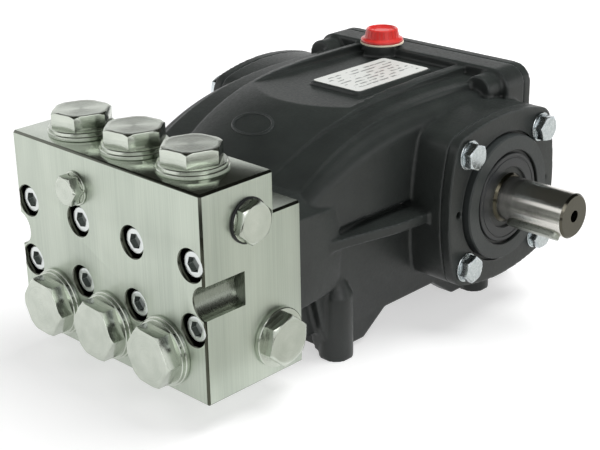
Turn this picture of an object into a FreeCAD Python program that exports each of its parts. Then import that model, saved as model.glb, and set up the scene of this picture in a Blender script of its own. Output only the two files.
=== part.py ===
"""Three-plunger high-pressure pump: steel head block, cast crankcase, keyed shaft.

Frame: +X along the drive shaft, +Y away from the head block, +Z up. The origin is the
middle of the four feet, on the plane that they stand on. All sizes are millimetres.
"""
import FreeCAD, Part
import math
import os
import Sketcher
from FreeCAD import Placement, Rotation, Vector

doc = FreeCAD.newDocument("plunger_pump")
sheet = doc.addObject("Spreadsheet::Sheet", "sizes")

DRIVING_SIZES = [
    # feet
    ("foot_pitch_across", 156), ("foot_pitch_along", 154), ("foot_radius", 12), ("foot_column_top", 46),
    ("foot_cone_height", 18), ("foot_tip_radius", 4), ("foot_tap_radius", 5.1), ("foot_tap_depth", 22),
    # head block
    ("block_width", 186), ("block_height", 140), ("block_depth", 82.5), ("block_upper_depth", 60.5),
    ("block_step", 26.8), ("block_lift", 19), ("block_setback", 49), ("block_edge", 2),
    ("bore_pitch", 54.3), ("upper_screw_row", 92.3), ("lower_screw_row", 49.2),
    ("screw_head_radius", 9), ("screw_head_height", 12), ("screw_recess", 2.7), ("screw_seat_gap", 1.8),
    ("screw_radius", 6), ("screw_hole_gap", 0.5), ("screw_bite", 12), ("screw_key_radius", 5.8),
    ("screw_key_depth", 6), ("screw_key_turn", 12),
    ("relief_radius", 11.5), ("relief_offset", 1.5), ("relief_row", 69.8), ("relief_length", 33.8),
    # valve caps and plugs
    ("cap_setback", 29.6), ("plug_row", 26.7), ("cap_collar_radius", 23.1), ("cap_collar_height", 5.6),
    ("cap_flats", 36), ("cap_head_height", 10.4), ("cap_spigot_radius", 17), ("cap_spigot_length", 26),
    ("seat_gap", 0.1), ("bore_runout", 4), ("plug_rim", 0.4), ("mill_gap", 1),
    ("top_cap_turn", 9), ("front_plug_turn", -4),
    ("gauge_row", 115), ("gauge_flats", 18.4), ("gauge_head_height", 5.4), ("gauge_washer_radius", 12.3),
    ("gauge_spigot_radius", 6.5), ("gauge_spigot_length", 10),
    ("inlet_setback", 60.4), ("inlet_row", 27), ("inlet_tap_radius", 12.1), ("inlet_tap_depth", 20),
    ("inlet_flats", 30.5), ("inlet_collar_radius", 20), ("inlet_collar_height", 3.5),
    ("inlet_head_height", 8), ("inlet_plug_turn", -12),
    ("outlet_setback", 38), ("outlet_row", 113.5), ("outlet_tap_radius", 9.3), ("outlet_tap_depth", 18),
    ("outlet_flats", 25), ("outlet_washer_radius", 15.5), ("outlet_head_height", 6.5),
    ("outlet_plug_turn", -13), ("washer_thickness", 1.5),
    # shaft and bearings
    ("shaft_height", 91), ("shaft_setback", 53), ("shaft_radius", 16), ("shaft_reach", 180),
    ("shaft_edge", 1.5), ("journal_radius", 18), ("journal_far_end", 110), ("shoulder_reach", 126.2),
    ("running_gap", 0.06), ("shaft_tap_radius", 4.2), ("shaft_tap_depth", 22),
    ("key_width", 10), ("key_height", 8), ("key_depth", 5), ("key_length", 42), ("key_end_gap", 5),
    ("key_turn", 53), ("key_gap", 0.02),
    ("cover_face", 120.5), ("cover_flange", 8), ("cover_bulge", 61.3), ("cover_bolt_pitch", 83),
    ("cover_corner_radius", 14), ("cover_ring_radius", 46.2), ("cover_ring_height", 4.7),
    ("seal_radius", 32.3), ("seal_gap", 0.1), ("seal_sunk", 0.5), ("seal_mouth_radius", 22),
    ("seal_mouth_depth", 5), ("blank_dish_depth", 1.5), ("blank_dish_slope", 1),
    ("jack_hole_pitch", 101), ("jack_hole_radius", 2.5),
    ("bolt_radius", 5), ("bolt_hole_gap", 0.3), ("bolt_thread_gap", 0.05), ("bolt_flats", 17),
    ("bolt_head_height", 6.5), ("bolt_washer_radius", 10.5), ("bolt_washer_height", 2), ("bolt_bite", 20),
    # crankcase
    ("case_bottom", 19.5), ("case_half_width", 78), ("case_top", 140), ("case_nose_top", 104),
    ("boss_root", 50),
    ("deck_height", 165.6), ("deck_half_width", 54), ("nose_drop", 54.6), ("nose_taper", 14),
    ("deck_crown", 2.5), ("nose_crown", 4), ("shoulder_half_width", 72), ("shoulder_drop", 1.5),
    ("shoulder_fall", 5), ("shoulder_crown", 1.5), ("hump_root", 60),
    ("panel_root", 50), ("panel_bottom", 97), ("panel_low_half", 88.5), ("panel_high_half", 87.5),
    ("panel_taper", 4), ("panel_brow_half", 71), ("panel_brow_drop", 1), ("panel_brow_fall", 4),
    ("panel_brow", 10), ("panel_brow_growth", 4),
    ("belt_front_half", 85.2), ("belt_close", 38), ("belt_open", 80), ("belt_overlap", 4),
    ("sill_top", 84), ("sill_top_half", 86), ("sill_low_half", 80),
    ("flange_half", 90), ("flange_thickness", 14), ("flange_taper", 32), ("flange_bottom", 54),
    ("flange_top", 117), ("flange_slope", 11), ("flange_brow", 16), ("flange_draft", 1),
    ("flange_fade", 5), ("flange_low_half", 83.5), ("flange_middle_half", 86.3), ("sill_notch_half", 72),
    ("rib_thickness", 7.3), ("rib_front_half", 86), ("rib_rear_half", 103), ("rib_front_run", 26),
    ("skirt_inner", 66), ("skirt_outer", 80), ("skirt_top", 52), ("web_thickness", 10),
    ("skirt_toe", 9), ("skirt_lean", 22), ("skirt_heel", 3), ("skirt_tail", 10),
    ("sill_notch_runout", 5), ("rib_waist", 3), ("core_cover", 2), ("tap_runout", 3),
    ("pocket_end_wall", 0.5), ("cut_runout", 20), ("filler_bore_bite", 10),
    ("skirt_bottom", 3.5), ("arch_start", 27), ("arch_rise", 23),
    ("pocket_floor", 160.5), ("pocket_half_width", 47), ("pocket_length", 162),
    ("plate_width", 45), ("plate_length", 79), ("plate_thickness", 0.4), ("plate_offset", 11),
    ("plate_pad_margin", 2), ("plate_pad_height", 2.8), ("plate_rear_gap", 16),
    # rear end
    ("rear_overhang", 43.5), ("rear_flange", 21), ("rear_cover_thickness", 8), ("rear_half_width", 93),
    ("rear_top", 168), ("rear_bottom", 17), ("rear_corner_radius", 14), ("lug_radius", 11),
    ("lug_length", 16), ("rear_bolt_inset", 14), ("rear_bolt_radius", 4), ("rear_bolt_flats", 13),
    ("rear_bolt_head", 5.5), ("rear_bolt_bite", 14),
    ("glass_radius", 15), ("glass_sunk", 1.5), ("glass_height", 88), ("drain_radius", 8),
    ("drain_height", 36), ("drain_offset", 40), ("drain_flats", 19), ("drain_collar_radius", 13),
    ("drain_head_height", 7), ("drain_collar_height", 2),
    ("rear_bolt_washer_height", 1.5), ("rear_bolt_turn", 15), ("hole_runout", 2),
    ("glass_rim", 3), ("glass_rim_height", 2), ("glass_step", 2),
    # oil filler
    ("filler_offset", 27), ("filler_inset", 0), ("filler_boss_radius", 14), ("filler_boss_height", 9.5),
    ("filler_bore_radius", 10), ("gasket_radius", 16.8), ("gasket_thickness", 1.5),
    ("cap_skirt_radius", 17), ("cap_skirt_height", 2.6), ("cap_top_radius", 12.4), ("cap_root_radius", 13.6),
    ("cap_top_height", 8.6), ("cap_edge", 1), ("cap_dish_radius", 10.5), ("cap_dish_depth", 1.5),
    ("cap_stem_length", 8),
]

for row, (alias, number) in enumerate(DRIVING_SIZES, start=1):
    sheet.set("A%d" % row, alias)
    sheet.set("B%d" % row, str(number))
    sheet.setAlias("B%d" % row, alias)
doc.recompute()


class Size:
    """A length or angle with the sheet formula that gives it."""

    def __init__(self, value, formula):
        self.value = float(value)
        self.formula = formula

    def _join(self, other, sign, value):
        other = as_size(other)
        return Size(value(self.value, other.value), "(%s %s %s)" % (self.formula, sign, other.formula))

    def __add__(self, other):
        return self._join(other, "+", lambda a, b: a + b)

    def __sub__(self, other):
        return self._join(other, "-", lambda a, b: a - b)

    def __mul__(self, other):
        return self._join(other, "*", lambda a, b: a * b)

    def __truediv__(self, other):
        return self._join(other, "/", lambda a, b: a / b)

    def __rsub__(self, other):
        return as_size(other) - self

    def __neg__(self):
        return as_size(0) - self

    __radd__ = __add__
    __rmul__ = __mul__


def as_size(number):
    return number if isinstance(number, Size) else Size(number, "(%.6f)" % number)


def named(alias):
    return Size(sheet.get(alias), "sizes.%s" % alias)


def cosine(degrees):
    return Size(math.cos(math.radians(degrees.value)), "cos(%s * 1 deg)" % degrees.formula)


def sine(degrees):
    return Size(math.sin(math.radians(degrees.value)), "sin(%s * 1 deg)" % degrees.formula)


def bind(thing, prop, size):
    thing.setExpression(prop, as_size(size).formula)


def move_to(thing, x=0, y=0, z=0, turn=None):
    """Put an object at a place worked out from the sheet, turned by a fixed rotation."""
    thing.Placement = Placement(Vector(as_size(x).value, as_size(y).value, as_size(z).value),
                                turn or Rotation())
    bind(thing, "Placement.Base.x", x)
    bind(thing, "Placement.Base.y", y)
    bind(thing, "Placement.Base.z", z)
    return thing


def origin_plane(body, role):
    return next(f for f in body.Origin.OriginFeatures if f.Role == role)


def new_body(label):
    body = doc.addObject("PartDesign::Body", label)
    body.Label = label
    return body


def new_sketch(body, role, level=0):
    """A sketch on one of the body's own origin planes, raised along the plane's normal."""
    sketch = body.newObject("Sketcher::SketchObject", "outline")
    sketch.AttachmentSupport = (origin_plane(body, role), [""])
    sketch.MapMode = "FlatFace"
    bind(sketch, ".AttachmentOffset.Base.z", level)
    return sketch


def pin(sketch, curve, spot, x, y):
    """Hold one point of a sketch curve at a distance from the sketch origin."""
    for kind, size in (("DistanceX", as_size(x)), ("DistanceY", as_size(y))):
        index = sketch.addConstraint(Sketcher.Constraint(kind, -1, 1, curve, spot, size.value))
        sketch.setExpression("Constraints[%d]" % index, size.formula)


def add_polygon(sketch, corners):
    points = [Vector(as_size(x).value, as_size(y).value, 0) for x, y in corners]
    first = sketch.GeometryCount
    count = len(points)
    for i in range(count):
        sketch.addGeometry(Part.LineSegment(points[i], points[(i + 1) % count]), False)
    for i in range(count):
        sketch.addConstraint(Sketcher.Constraint("Coincident", first + i, 2, first + (i + 1) % count, 1))
        pin(sketch, first + i, 1, *corners[i])


def add_circle(sketch, x, y, radius):
    x, y, radius = as_size(x), as_size(y), as_size(radius)
    circle = Part.Circle(Vector(x.value, y.value, 0), Vector(0, 0, 1), radius.value)
    curve = sketch.addGeometry(circle, False)
    pin(sketch, curve, 3, x, y)
    index = sketch.addConstraint(Sketcher.Constraint("Radius", curve, radius.value))
    sketch.setExpression("Constraints[%d]" % index, radius.formula)


def add_arch_section(sketch, half_width, bottom, edge, crown):
    """A closed section with flat sides and bottom and an arc over the top."""
    half_width, bottom, edge, crown = (as_size(s) for s in (half_width, bottom, edge, crown))
    left_top = Vector(-half_width.value, edge.value, 0)
    right_top = Vector(half_width.value, edge.value, 0)
    left_low = Vector(-half_width.value, bottom.value, 0)
    right_low = Vector(half_width.value, bottom.value, 0)
    middle = Vector(0, edge.value + crown.value, 0)
    sketch.addGeometry(Part.LineSegment(left_top, left_low), False)
    sketch.addGeometry(Part.LineSegment(left_low, right_low), False)
    sketch.addGeometry(Part.LineSegment(right_low, right_top), False)
    sketch.addGeometry(Part.Arc(right_top, middle, left_top), False)
    sketch.addConstraint(Sketcher.Constraint("Coincident", 0, 2, 1, 1))
    sketch.addConstraint(Sketcher.Constraint("Coincident", 1, 2, 2, 1))
    sketch.addConstraint(Sketcher.Constraint("Coincident", 2, 2, 3, 1))
    sketch.addConstraint(Sketcher.Constraint("Coincident", 3, 2, 0, 1))
    pin(sketch, 0, 1, -half_width, edge)
    pin(sketch, 1, 1, -half_width, bottom)
    pin(sketch, 2, 1, half_width, bottom)
    pin(sketch, 3, 1, half_width, edge)
    radius = half_width * half_width / (crown * 2) + crown / 2
    index = sketch.addConstraint(Sketcher.Constraint("Radius", 3, radius.value))
    sketch.setExpression("Constraints[%d]" % index, radius.formula)


def add_browed_section(sketch, corners):
    """A closed outline of straight sides, and an arc that leaves its first corner upright."""
    spots = [Vector(as_size(x).value, as_size(y).value, 0) for x, y in corners]
    (first_x, first_y), (last_x, last_y) = corners[0], corners[-1]
    width = first_x - last_x
    rise = last_y - first_y
    radius = (width * width + rise * rise) / (width * 2)
    lean = math.atan2(rise.value, abs(radius.value) - abs(width.value)) / 2
    outward = math.copysign(1, radius.value)
    middle = Vector(first_x.value - radius.value + radius.value * math.cos(lean),
                    first_y.value + abs(radius.value) * math.sin(lean), 0)
    arc = len(spots) - 1
    for i in range(arc):
        sketch.addGeometry(Part.LineSegment(spots[i], spots[i + 1]), False)
        pin(sketch, i, 1, *corners[i])
    for i in range(arc - 1):
        sketch.addConstraint(Sketcher.Constraint("Coincident", i, 2, i + 1, 1))
    if outward > 0:
        sketch.addGeometry(Part.Arc(spots[0], middle, spots[-1]), False)
        brow_end, side_end = 2, 1
    else:
        sketch.addGeometry(Part.Arc(spots[-1], middle, spots[0]), False)
        brow_end, side_end = 1, 2
    sketch.addConstraint(Sketcher.Constraint("Coincident", arc - 1, 2, arc, brow_end))
    sketch.addConstraint(Sketcher.Constraint("Coincident", arc, side_end, 0, 1))
    pin(sketch, arc, brow_end, *corners[arc])
    radius = radius * outward
    index = sketch.addConstraint(Sketcher.Constraint("Radius", arc, radius.value))
    sketch.setExpression("Constraints[%d]" % index, radius.formula)


def pad(body, sketch, length, both_ways=False, backwards=False):
    feature = body.newObject("PartDesign::Pad", "pad")
    feature.Profile = sketch
    feature.Midplane = both_ways
    feature.Reversed = backwards
    bind(feature, "Length", length)
    doc.recompute()
    return feature


def pocket(body, sketch, depth, backwards=False):
    """Cut a sketch into the body, and make sure that it takes material away."""
    before = body.Shape.Volume
    feature = body.newObject("PartDesign::Pocket", "pocket")
    feature.Profile = sketch
    feature.Reversed = backwards
    bind(feature, "Length", depth)
    doc.recompute()
    if body.Shape.Volume > before - 0.1:
        raise RuntimeError("a pocket in %s cuts nothing" % body.Label)
    return feature


def turned(label, outline):
    """A body turned about its own Z axis from radius and height pairs."""
    body = new_body(label)
    sketch = new_sketch(body, "XZ_Plane")
    add_polygon(sketch, outline)
    feature = body.newObject("PartDesign::Revolution", "turning")
    feature.Profile = sketch
    feature.ReferenceAxis = (sketch, ["V_Axis"])
    feature.Angle = 360
    doc.recompute()
    return body


def hexagon(radius, turn):
    return [(radius * cosine(turn + 60 * k), radius * sine(turn + 60 * k)) for k in range(6)]


def corner_radius(flats):
    return flats / math.sqrt(3)


def mill_hexagon(body, flats, top, depth, turn, clear_radius):
    """Cut a turned head down to a hexagon over the given depth."""
    sketch = new_sketch(body, "XY_Plane", top)
    add_circle(sketch, 0, 0, clear_radius)
    add_polygon(sketch, hexagon(corner_radius(flats), turn))
    pocket(body, sketch, depth)


# Shape of a hexagon head and its collar: the end face as a share of the half width across
# flats, the cone's fall as a share of its width, and the collar's edge as a share of its height
HEAD_FACE_SHARE = 0.94
HEAD_CONE_FALL = 0.45
COLLAR_EDGE_SHARE = 0.2
# How far a small plug's rim and a rear bolt's washer stand out past the flats
PLUG_RIM_SHARE = 1.1
BOLT_WASHER_SHARE = 1.35
# How much of a tapped port the plug's thread fills, and the edge of a socket head
PORT_FILL_SHARE = 0.8
SCREW_EDGE_SHARE = 0.08


def hex_plug(label, flats, head, collar, collar_height, spigot, spigot_length, turn):
    """A screw plug: spigot below the seat, round collar, hexagon head with a coned top."""
    corner = corner_radius(flats)
    cone = corner - flats / 2 * HEAD_FACE_SHARE
    fall = cone * HEAD_CONE_FALL
    top = collar_height + head
    edge = collar_height * COLLAR_EDGE_SHARE
    body = turned(label, [
        (0, -spigot_length), (spigot, -spigot_length), (spigot, 0), (collar, 0),
        (collar, collar_height - edge), (collar - edge, collar_height), (corner, collar_height),
        (corner, top - fall), (corner - cone, top), (0, top)])
    mill_hexagon(body, flats, top, head, turn, collar + named("mill_gap"))
    return body


def add_cylinder(radius, height, x=0, y=0, z=0, turn=None):
    cylinder = doc.addObject("Part::Cylinder", "round")
    bind(cylinder, "Radius", radius)
    bind(cylinder, "Height", height)
    return move_to(cylinder, x, y, z, turn)


def add_box(x0, x1, y0, y1, z0, z1):
    block = doc.addObject("Part::Box", "block")
    bind(block, "Length", as_size(x1) - x0)
    bind(block, "Width", as_size(y1) - y0)
    bind(block, "Height", as_size(z1) - z0)
    return move_to(block, x0, y0, z0)


def joined(label, shapes):
    union = doc.addObject("Part::MultiFuse", label)
    union.Label = label
    union.Shapes = shapes
    return union


def cut_from(label, base, tools):
    cut = doc.addObject("Part::Cut", label)
    cut.Label = label
    cut.Base = base
    cut.Tool = joined(label + "_holes", tools) if len(tools) > 1 else tools[0]
    return cut


TO_RIGHT = Rotation(Vector(0, 1, 0), 90)
TO_LEFT = Rotation(Vector(0, 1, 0), -90)
TO_FRONT = Rotation(Vector(1, 0, 0), 90)
TO_REAR = Rotation(Vector(1, 0, 0), -90)

# Places worked out from the driving sizes
foot_x = named("foot_pitch_across") / 2
foot_y = named("foot_pitch_along") / 2
joint_y = -foot_y - named("block_setback")
front_y = joint_y - named("block_depth")
block_side = named("block_width") / 2
block_base = named("block_lift")
block_top = block_base + named("block_height")
step_top = block_top - named("block_step")
rear_y = foot_y + named("rear_overhang")
rear_joint_y = rear_y - named("rear_cover_thickness")
flange_y = rear_joint_y - named("rear_flange")
shaft_y = named("shaft_setback")
shaft_z = named("shaft_height")
boss_face = named("cover_face") - named("cover_flange")
bolt_offset = named("cover_bolt_pitch") / 2
bore_columns = [named("bore_pitch") * k for k in (-1, 0, 1)]
screw_columns = [named("bore_pitch") * k for k in (-1.5, -0.5, 0.5, 1.5)]
screw_rows = [block_base + named("upper_screw_row"), block_base + named("lower_screw_row")]
cap_y = front_y + named("cap_setback")
plug_z = block_base + named("plug_row")
gauge_x = named("bore_pitch") * -0.5
gauge_z = block_base + named("gauge_row")
inlet_y = front_y + named("inlet_setback")
inlet_z = block_base + named("inlet_row")
outlet_y = front_y + named("outlet_setback")
outlet_z = block_base + named("outlet_row")
filler_y = flange_y - named("filler_inset")
filler_z = named("pocket_floor") + named("filler_boss_height")


def chosen_edges(shape, keep):
    return ["Edge%d" % (i + 1) for i, edge in enumerate(shape.Edges) if keep(edge)]


def make_head_block():
    """Stainless block with screw recesses, cap bores, side ports and relief grooves."""
    body = new_body("manifold")
    outline = new_sketch(body, "YZ_Plane")
    upper_rear = front_y + named("block_upper_depth")
    add_polygon(outline, [(front_y, block_base), (joint_y, block_base), (joint_y, step_top),
                          (upper_rear, step_top), (upper_rear, block_top), (front_y, block_top)])
    block = pad(body, outline, named("block_width"), both_ways=True)

    def outer(edge):
        middle = edge.BoundBox.Center
        in_step = abs(middle.y - upper_rear.value) < 0.5 and abs(middle.z - step_top.value) < 0.5
        on_joint = abs(middle.y - joint_y.value) < 0.5
        return not in_step and not on_joint

    chamfer = body.newObject("PartDesign::Chamfer", "broken_edges")
    chamfer.Base = (block, chosen_edges(block.Shape, outer))
    bind(chamfer, "Size", named("block_edge"))
    doc.recompute()

    recess = named("screw_recess") + named("screw_head_height")
    seats = new_sketch(body, "XZ_Plane", -front_y)
    holes = new_sketch(body, "XZ_Plane", -front_y)
    for x in screw_columns:
        for z in screw_rows:
            add_circle(seats, x, z, named("screw_head_radius") + named("screw_seat_gap"))
            add_circle(holes, x, z, named("screw_radius") + named("screw_hole_gap"))
    pocket(body, seats, recess)
    pocket(body, holes, named("block_depth"))

    bore = named("cap_spigot_radius") + named("seat_gap")
    bore_depth = named("cap_spigot_length") + named("bore_runout")
    top_bores = new_sketch(body, "XY_Plane", block_top)
    front_bores = new_sketch(body, "XZ_Plane", -front_y)
    for x in bore_columns:
        add_circle(top_bores, x, cap_y, bore)
        add_circle(front_bores, x, plug_z, bore)
    pocket(body, top_bores, bore_depth)
    pocket(body, front_bores, bore_depth)

    gauge_port = new_sketch(body, "XZ_Plane", -front_y)
    add_circle(gauge_port, gauge_x, gauge_z, named("gauge_spigot_radius") + named("seat_gap"))
    pocket(body, gauge_port, named("gauge_spigot_length") + named("bore_runout"))

    reliefs = new_sketch(body, "XZ_Plane", -front_y)
    for side in (-1, 1):
        add_circle(reliefs, (block_side + named("relief_offset")) * side, block_base + named("relief_row"),
                   named("relief_radius"))
    pocket(body, reliefs, named("relief_length"))

    for side in (-1, 1):
        for y, z, radius, depth in (
                (inlet_y, inlet_z, named("inlet_tap_radius"), named("inlet_tap_depth")),
                (outlet_y, outlet_z, named("outlet_tap_radius"), named("outlet_tap_depth"))):
            port = new_sketch(body, "YZ_Plane", block_side * side)
            add_circle(port, y, z, radius)
            pocket(body, port, depth, backwards=(side < 0))
    return body


def make_socket_screw(label, x, z):
    """Socket-head screw that holds the head block to the crankcase."""
    head = named("screw_head_radius")
    height = named("screw_head_height")
    shank = named("screw_radius")
    length = named("block_depth") - named("screw_recess") - height + named("screw_bite")
    edge = head * SCREW_EDGE_SHARE
    body = turned(label, [(0, -length), (shank, -length), (shank, 0), (head, 0), (head, height - edge),
                          (head - edge, height), (0, height)])
    socket = new_sketch(body, "XY_Plane", height)
    add_polygon(socket, hexagon(named("screw_key_radius"), named("screw_key_turn")))
    pocket(body, socket, named("screw_key_depth"))
    return move_to(body, x, front_y + named("screw_recess") + height, z, TO_FRONT)


def make_block_fittings():
    """Caps and plugs of the head block, with their washers."""
    pieces = []
    for number, x in enumerate(bore_columns, start=1):
        cap = hex_plug("top_valve_cap_%d" % number, named("cap_flats"), named("cap_head_height"),
                       named("cap_collar_radius"), named("cap_collar_height"),
                       named("cap_spigot_radius"), named("cap_spigot_length"), named("top_cap_turn"))
        pieces.append(move_to(cap, x, cap_y, block_top))
        plug = hex_plug("front_valve_plug_%d" % number, named("cap_flats"), named("cap_head_height"),
                        named("cap_collar_radius"), named("cap_collar_height"),
                        named("cap_spigot_radius"), named("cap_spigot_length"), named("front_plug_turn"))
        pieces.append(move_to(plug, x, front_y, plug_z, TO_FRONT))
    number = 0
    for z in screw_rows:
        for x in screw_columns:
            number += 1
            pieces.append(make_socket_screw("head_bolt_%d" % number, x, z))
    washer = named("washer_thickness")
    rim = named("plug_rim")
    gauge = hex_plug("gauge_plug", named("gauge_flats"), named("gauge_head_height"),
                     named("gauge_flats") / 2 * PLUG_RIM_SHARE, rim, named("gauge_spigot_radius"),
                     named("gauge_spigot_length"), as_size(0))
    pieces.append(move_to(gauge, gauge_x, front_y - washer, gauge_z, TO_FRONT))
    pieces.append(move_to(make_washer("gauge_washer", named("gauge_washer_radius"),
                                      named("gauge_spigot_radius") + named("seat_gap")),
                          gauge_x, front_y, gauge_z, TO_FRONT))
    outlet = hex_plug("outlet_plug", named("outlet_flats"), named("outlet_head_height"),
                      named("outlet_flats") / 2 * PLUG_RIM_SHARE, rim,
                      named("outlet_tap_radius") - named("seat_gap"),
                      named("outlet_tap_depth") * PORT_FILL_SHARE, named("outlet_plug_turn"))
    pieces.append(move_to(outlet, block_side + washer, outlet_y, outlet_z, TO_RIGHT))
    pieces.append(move_to(make_washer("outlet_washer", named("outlet_washer_radius"),
                                      named("outlet_tap_radius")),
                          block_side, outlet_y, outlet_z, TO_RIGHT))
    inlet = hex_plug("inlet_plug", named("inlet_flats"), named("inlet_head_height"),
                     named("inlet_collar_radius"), named("inlet_collar_height"),
                     named("inlet_tap_radius") - named("seat_gap"),
                     named("inlet_tap_depth") * PORT_FILL_SHARE, named("inlet_plug_turn"))
    pieces.append(move_to(inlet, block_side, inlet_y, inlet_z, TO_RIGHT))
    return pieces


def make_washer(label, outer, inner):
    thickness = named("washer_thickness")
    return turned(label, [(inner, 0), (outer, 0), (outer, thickness), (inner, thickness)])


def make_shaft():
    """Crankshaft end with its shoulder, centre tap and keyway."""
    start = -named("journal_far_end")
    shoulder = named("shoulder_reach")
    end = named("shaft_reach")
    edge = named("shaft_edge")
    radius = named("shaft_radius")
    journal = named("journal_radius")
    turning = turned("shaft_turning", [(0, start), (journal, start), (journal, shoulder - edge),
                                       (journal - edge, shoulder), (radius, shoulder), (radius, end - edge),
                                       (radius - edge, end), (0, end)])
    move_to(turning, 0, shaft_y, shaft_z, TO_RIGHT)
    tap = add_cylinder(named("shaft_tap_radius"), named("shaft_tap_depth"),
                       end - named("shaft_tap_depth"), shaft_y, shaft_z, TO_RIGHT)
    slot = key_solid("keyway", named("key_gap"))
    return cut_from("crankshaft", turning, [tap, slot])


def key_solid(label, gap):
    """Round-ended key, sunk in the shaft and turned about the shaft axis."""
    width = named("key_width") / 2 + gap
    floor = named("shaft_radius") - named("key_depth") - gap
    body = new_body(label)
    sketch = new_sketch(body, "XY_Plane", floor)
    rear = named("shaft_reach") - named("key_end_gap") - named("key_length")
    front = named("shaft_reach") - named("key_end_gap")
    near = rear + named("key_width") / 2
    far = front - named("key_width") / 2
    sketch.addGeometry(Part.LineSegment(Vector(near.value, -width.value, 0),
                                        Vector(far.value, -width.value, 0)))
    sketch.addGeometry(Part.Arc(Vector(far.value, -width.value, 0), Vector(far.value + width.value, 0, 0),
                                Vector(far.value, width.value, 0)))
    sketch.addGeometry(Part.LineSegment(Vector(far.value, width.value, 0),
                                        Vector(near.value, width.value, 0)))
    sketch.addGeometry(Part.Arc(Vector(near.value, width.value, 0), Vector(near.value - width.value, 0, 0),
                                Vector(near.value, -width.value, 0)))
    for a in range(4):
        sketch.addConstraint(Sketcher.Constraint("Coincident", a, 2, (a + 1) % 4, 1))
    pin(sketch, 0, 1, near, -width)
    pin(sketch, 0, 2, far, -width)
    pin(sketch, 1, 3, far, 0)
    pin(sketch, 3, 3, near, 0)
    for spot, x in ((1, far), (2, near)):
        index = sketch.addConstraint(Sketcher.Constraint("DistanceX", -1, 1, 2, spot, x.value))
        sketch.setExpression("Constraints[%d]" % index, x.formula)
    pad(body, sketch, named("key_height") + gap)
    turn = Rotation(Vector(1, 0, 0), 90 + named("key_turn").value)
    return move_to(body, 0, shaft_y, shaft_z, turn)


def add_pillow(sketch, centre_x, centre_y):
    """Bearing flange outline: bulging sides that run smoothly into the four bolt corners."""
    corner = named("cover_corner_radius")
    bulge = named("cover_bulge")
    swell = bulge - bolt_offset
    side_radius = (swell * swell + bolt_offset * bolt_offset - corner * corner) / ((swell - corner) * 2)
    reach = bolt_offset + corner * (side_radius - swell) / (side_radius - corner)
    near = bolt_offset + corner * bolt_offset / (side_radius - corner)
    tip = bolt_offset + corner * math.sqrt(0.5)
    for k in range(4):
        spots = [quarter_turn(spot, k) for spot in ((reach, -near), (bulge, as_size(0)), (reach, near),
                                                    (tip, tip), (near, reach))]
        points = [Vector((centre_x + x).value, (centre_y + y).value, 0) for x, y in spots]
        for first, radius in ((0, side_radius), (2, corner)):
            arc = sketch.addGeometry(Part.Arc(*points[first:first + 3]), False)
            x, y = spots[first]
            pin(sketch, arc, 1, centre_x + x, centre_y + y)
            index = sketch.addConstraint(Sketcher.Constraint("Radius", arc, radius.value))
            sketch.setExpression("Constraints[%d]" % index, radius.formula)
            if arc:
                sketch.addConstraint(Sketcher.Constraint("Coincident", arc - 1, 2, arc, 1))
    sketch.addConstraint(Sketcher.Constraint("Coincident", 7, 2, 0, 1))


def quarter_turn(spot, count):
    """A point turned about the origin by a number of quarter turns."""
    x, y = spot
    for _ in range(count):
        x, y = -y, x
    return x, y


def bolt_spots():
    """Places of a bearing cover's four bolts, going round from the front upper one."""
    return [(shaft_y + bolt_offset * along, shaft_z + bolt_offset * up)
            for along, up in ((-1, 1), (1, 1), (1, -1), (-1, -1))]


def make_bearing_cover(label, side):
    """Cast cover flange with its raised ring and centre bore."""
    body = new_body(label)
    flange = new_sketch(body, "YZ_Plane", boss_face * side)
    add_pillow(flange, shaft_y, shaft_z)
    pad(body, flange, named("cover_flange"), backwards=(side < 0))
    ring = new_sketch(body, "YZ_Plane", named("cover_face") * side)
    add_circle(ring, shaft_y, shaft_z, named("cover_ring_radius"))
    pad(body, ring, named("cover_ring_height"), backwards=(side < 0))
    holes = new_sketch(body, "YZ_Plane", (named("cover_face") + named("cover_ring_height")) * side)
    add_circle(holes, shaft_y, shaft_z, named("seal_radius") + named("seal_gap"))
    for y, z in bolt_spots():
        add_circle(holes, y, z, named("bolt_radius") + named("bolt_hole_gap"))
    for hand in (-1, 1):
        add_circle(holes, shaft_y + named("jack_hole_pitch") / 2 * hand, shaft_z, named("jack_hole_radius"))
    pocket(body, holes, named("cover_flange") + named("cover_ring_height"), backwards=(side < 0))
    return body


def make_seal():
    """Seal ring that fills the right cover's bore round the shaft."""
    depth = named("cover_flange") + named("cover_ring_height") - named("seal_sunk")
    lip = named("journal_radius") + named("running_gap")
    mouth = named("seal_mouth_radius")
    outer = named("seal_radius")
    body = turned("shaft_seal", [(lip, 0), (outer, 0), (outer, depth), (mouth, depth),
                                 (mouth, depth - named("seal_mouth_depth")),
                                 (lip, depth - named("seal_mouth_depth") - 1)])
    return move_to(body, boss_face, shaft_y, shaft_z, TO_RIGHT)


def make_blank_cap():
    """Closed disc in the left cover's bore."""
    depth = named("cover_flange") + named("cover_ring_height") - named("seal_sunk")
    outer = named("seal_radius")
    dish = named("seal_mouth_radius")
    floor = depth - named("blank_dish_depth")
    body = turned("left_bearing_cap", [(0, 0), (outer, 0), (outer, depth), (dish, depth),
                                       (dish - named("blank_dish_slope"), floor), (0, floor)])
    return move_to(body, -boss_face, shaft_y, shaft_z, TO_LEFT)


def make_bolt(radius, flats, head, washer_radius, washer_height, length, turn):
    """Hexagon bolt with its washer and the shank below it."""
    corner = corner_radius(flats)
    cone = corner - flats / 2 * HEAD_FACE_SHARE
    top = washer_height + head
    body = turned("bolt", [(0, -length), (radius, -length), (radius, 0), (washer_radius, 0),
                           (washer_radius, washer_height), (corner, washer_height),
                           (corner, top - cone * HEAD_CONE_FALL), (corner - cone, top), (0, top)])
    mill_hexagon(body, flats, top, head, turn, washer_radius + named("mill_gap"))
    return body


# How far, in degrees, each of a cover's four bolts happens to be turned
BOLT_TURNS = (8, 21, 34, 47)


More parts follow.
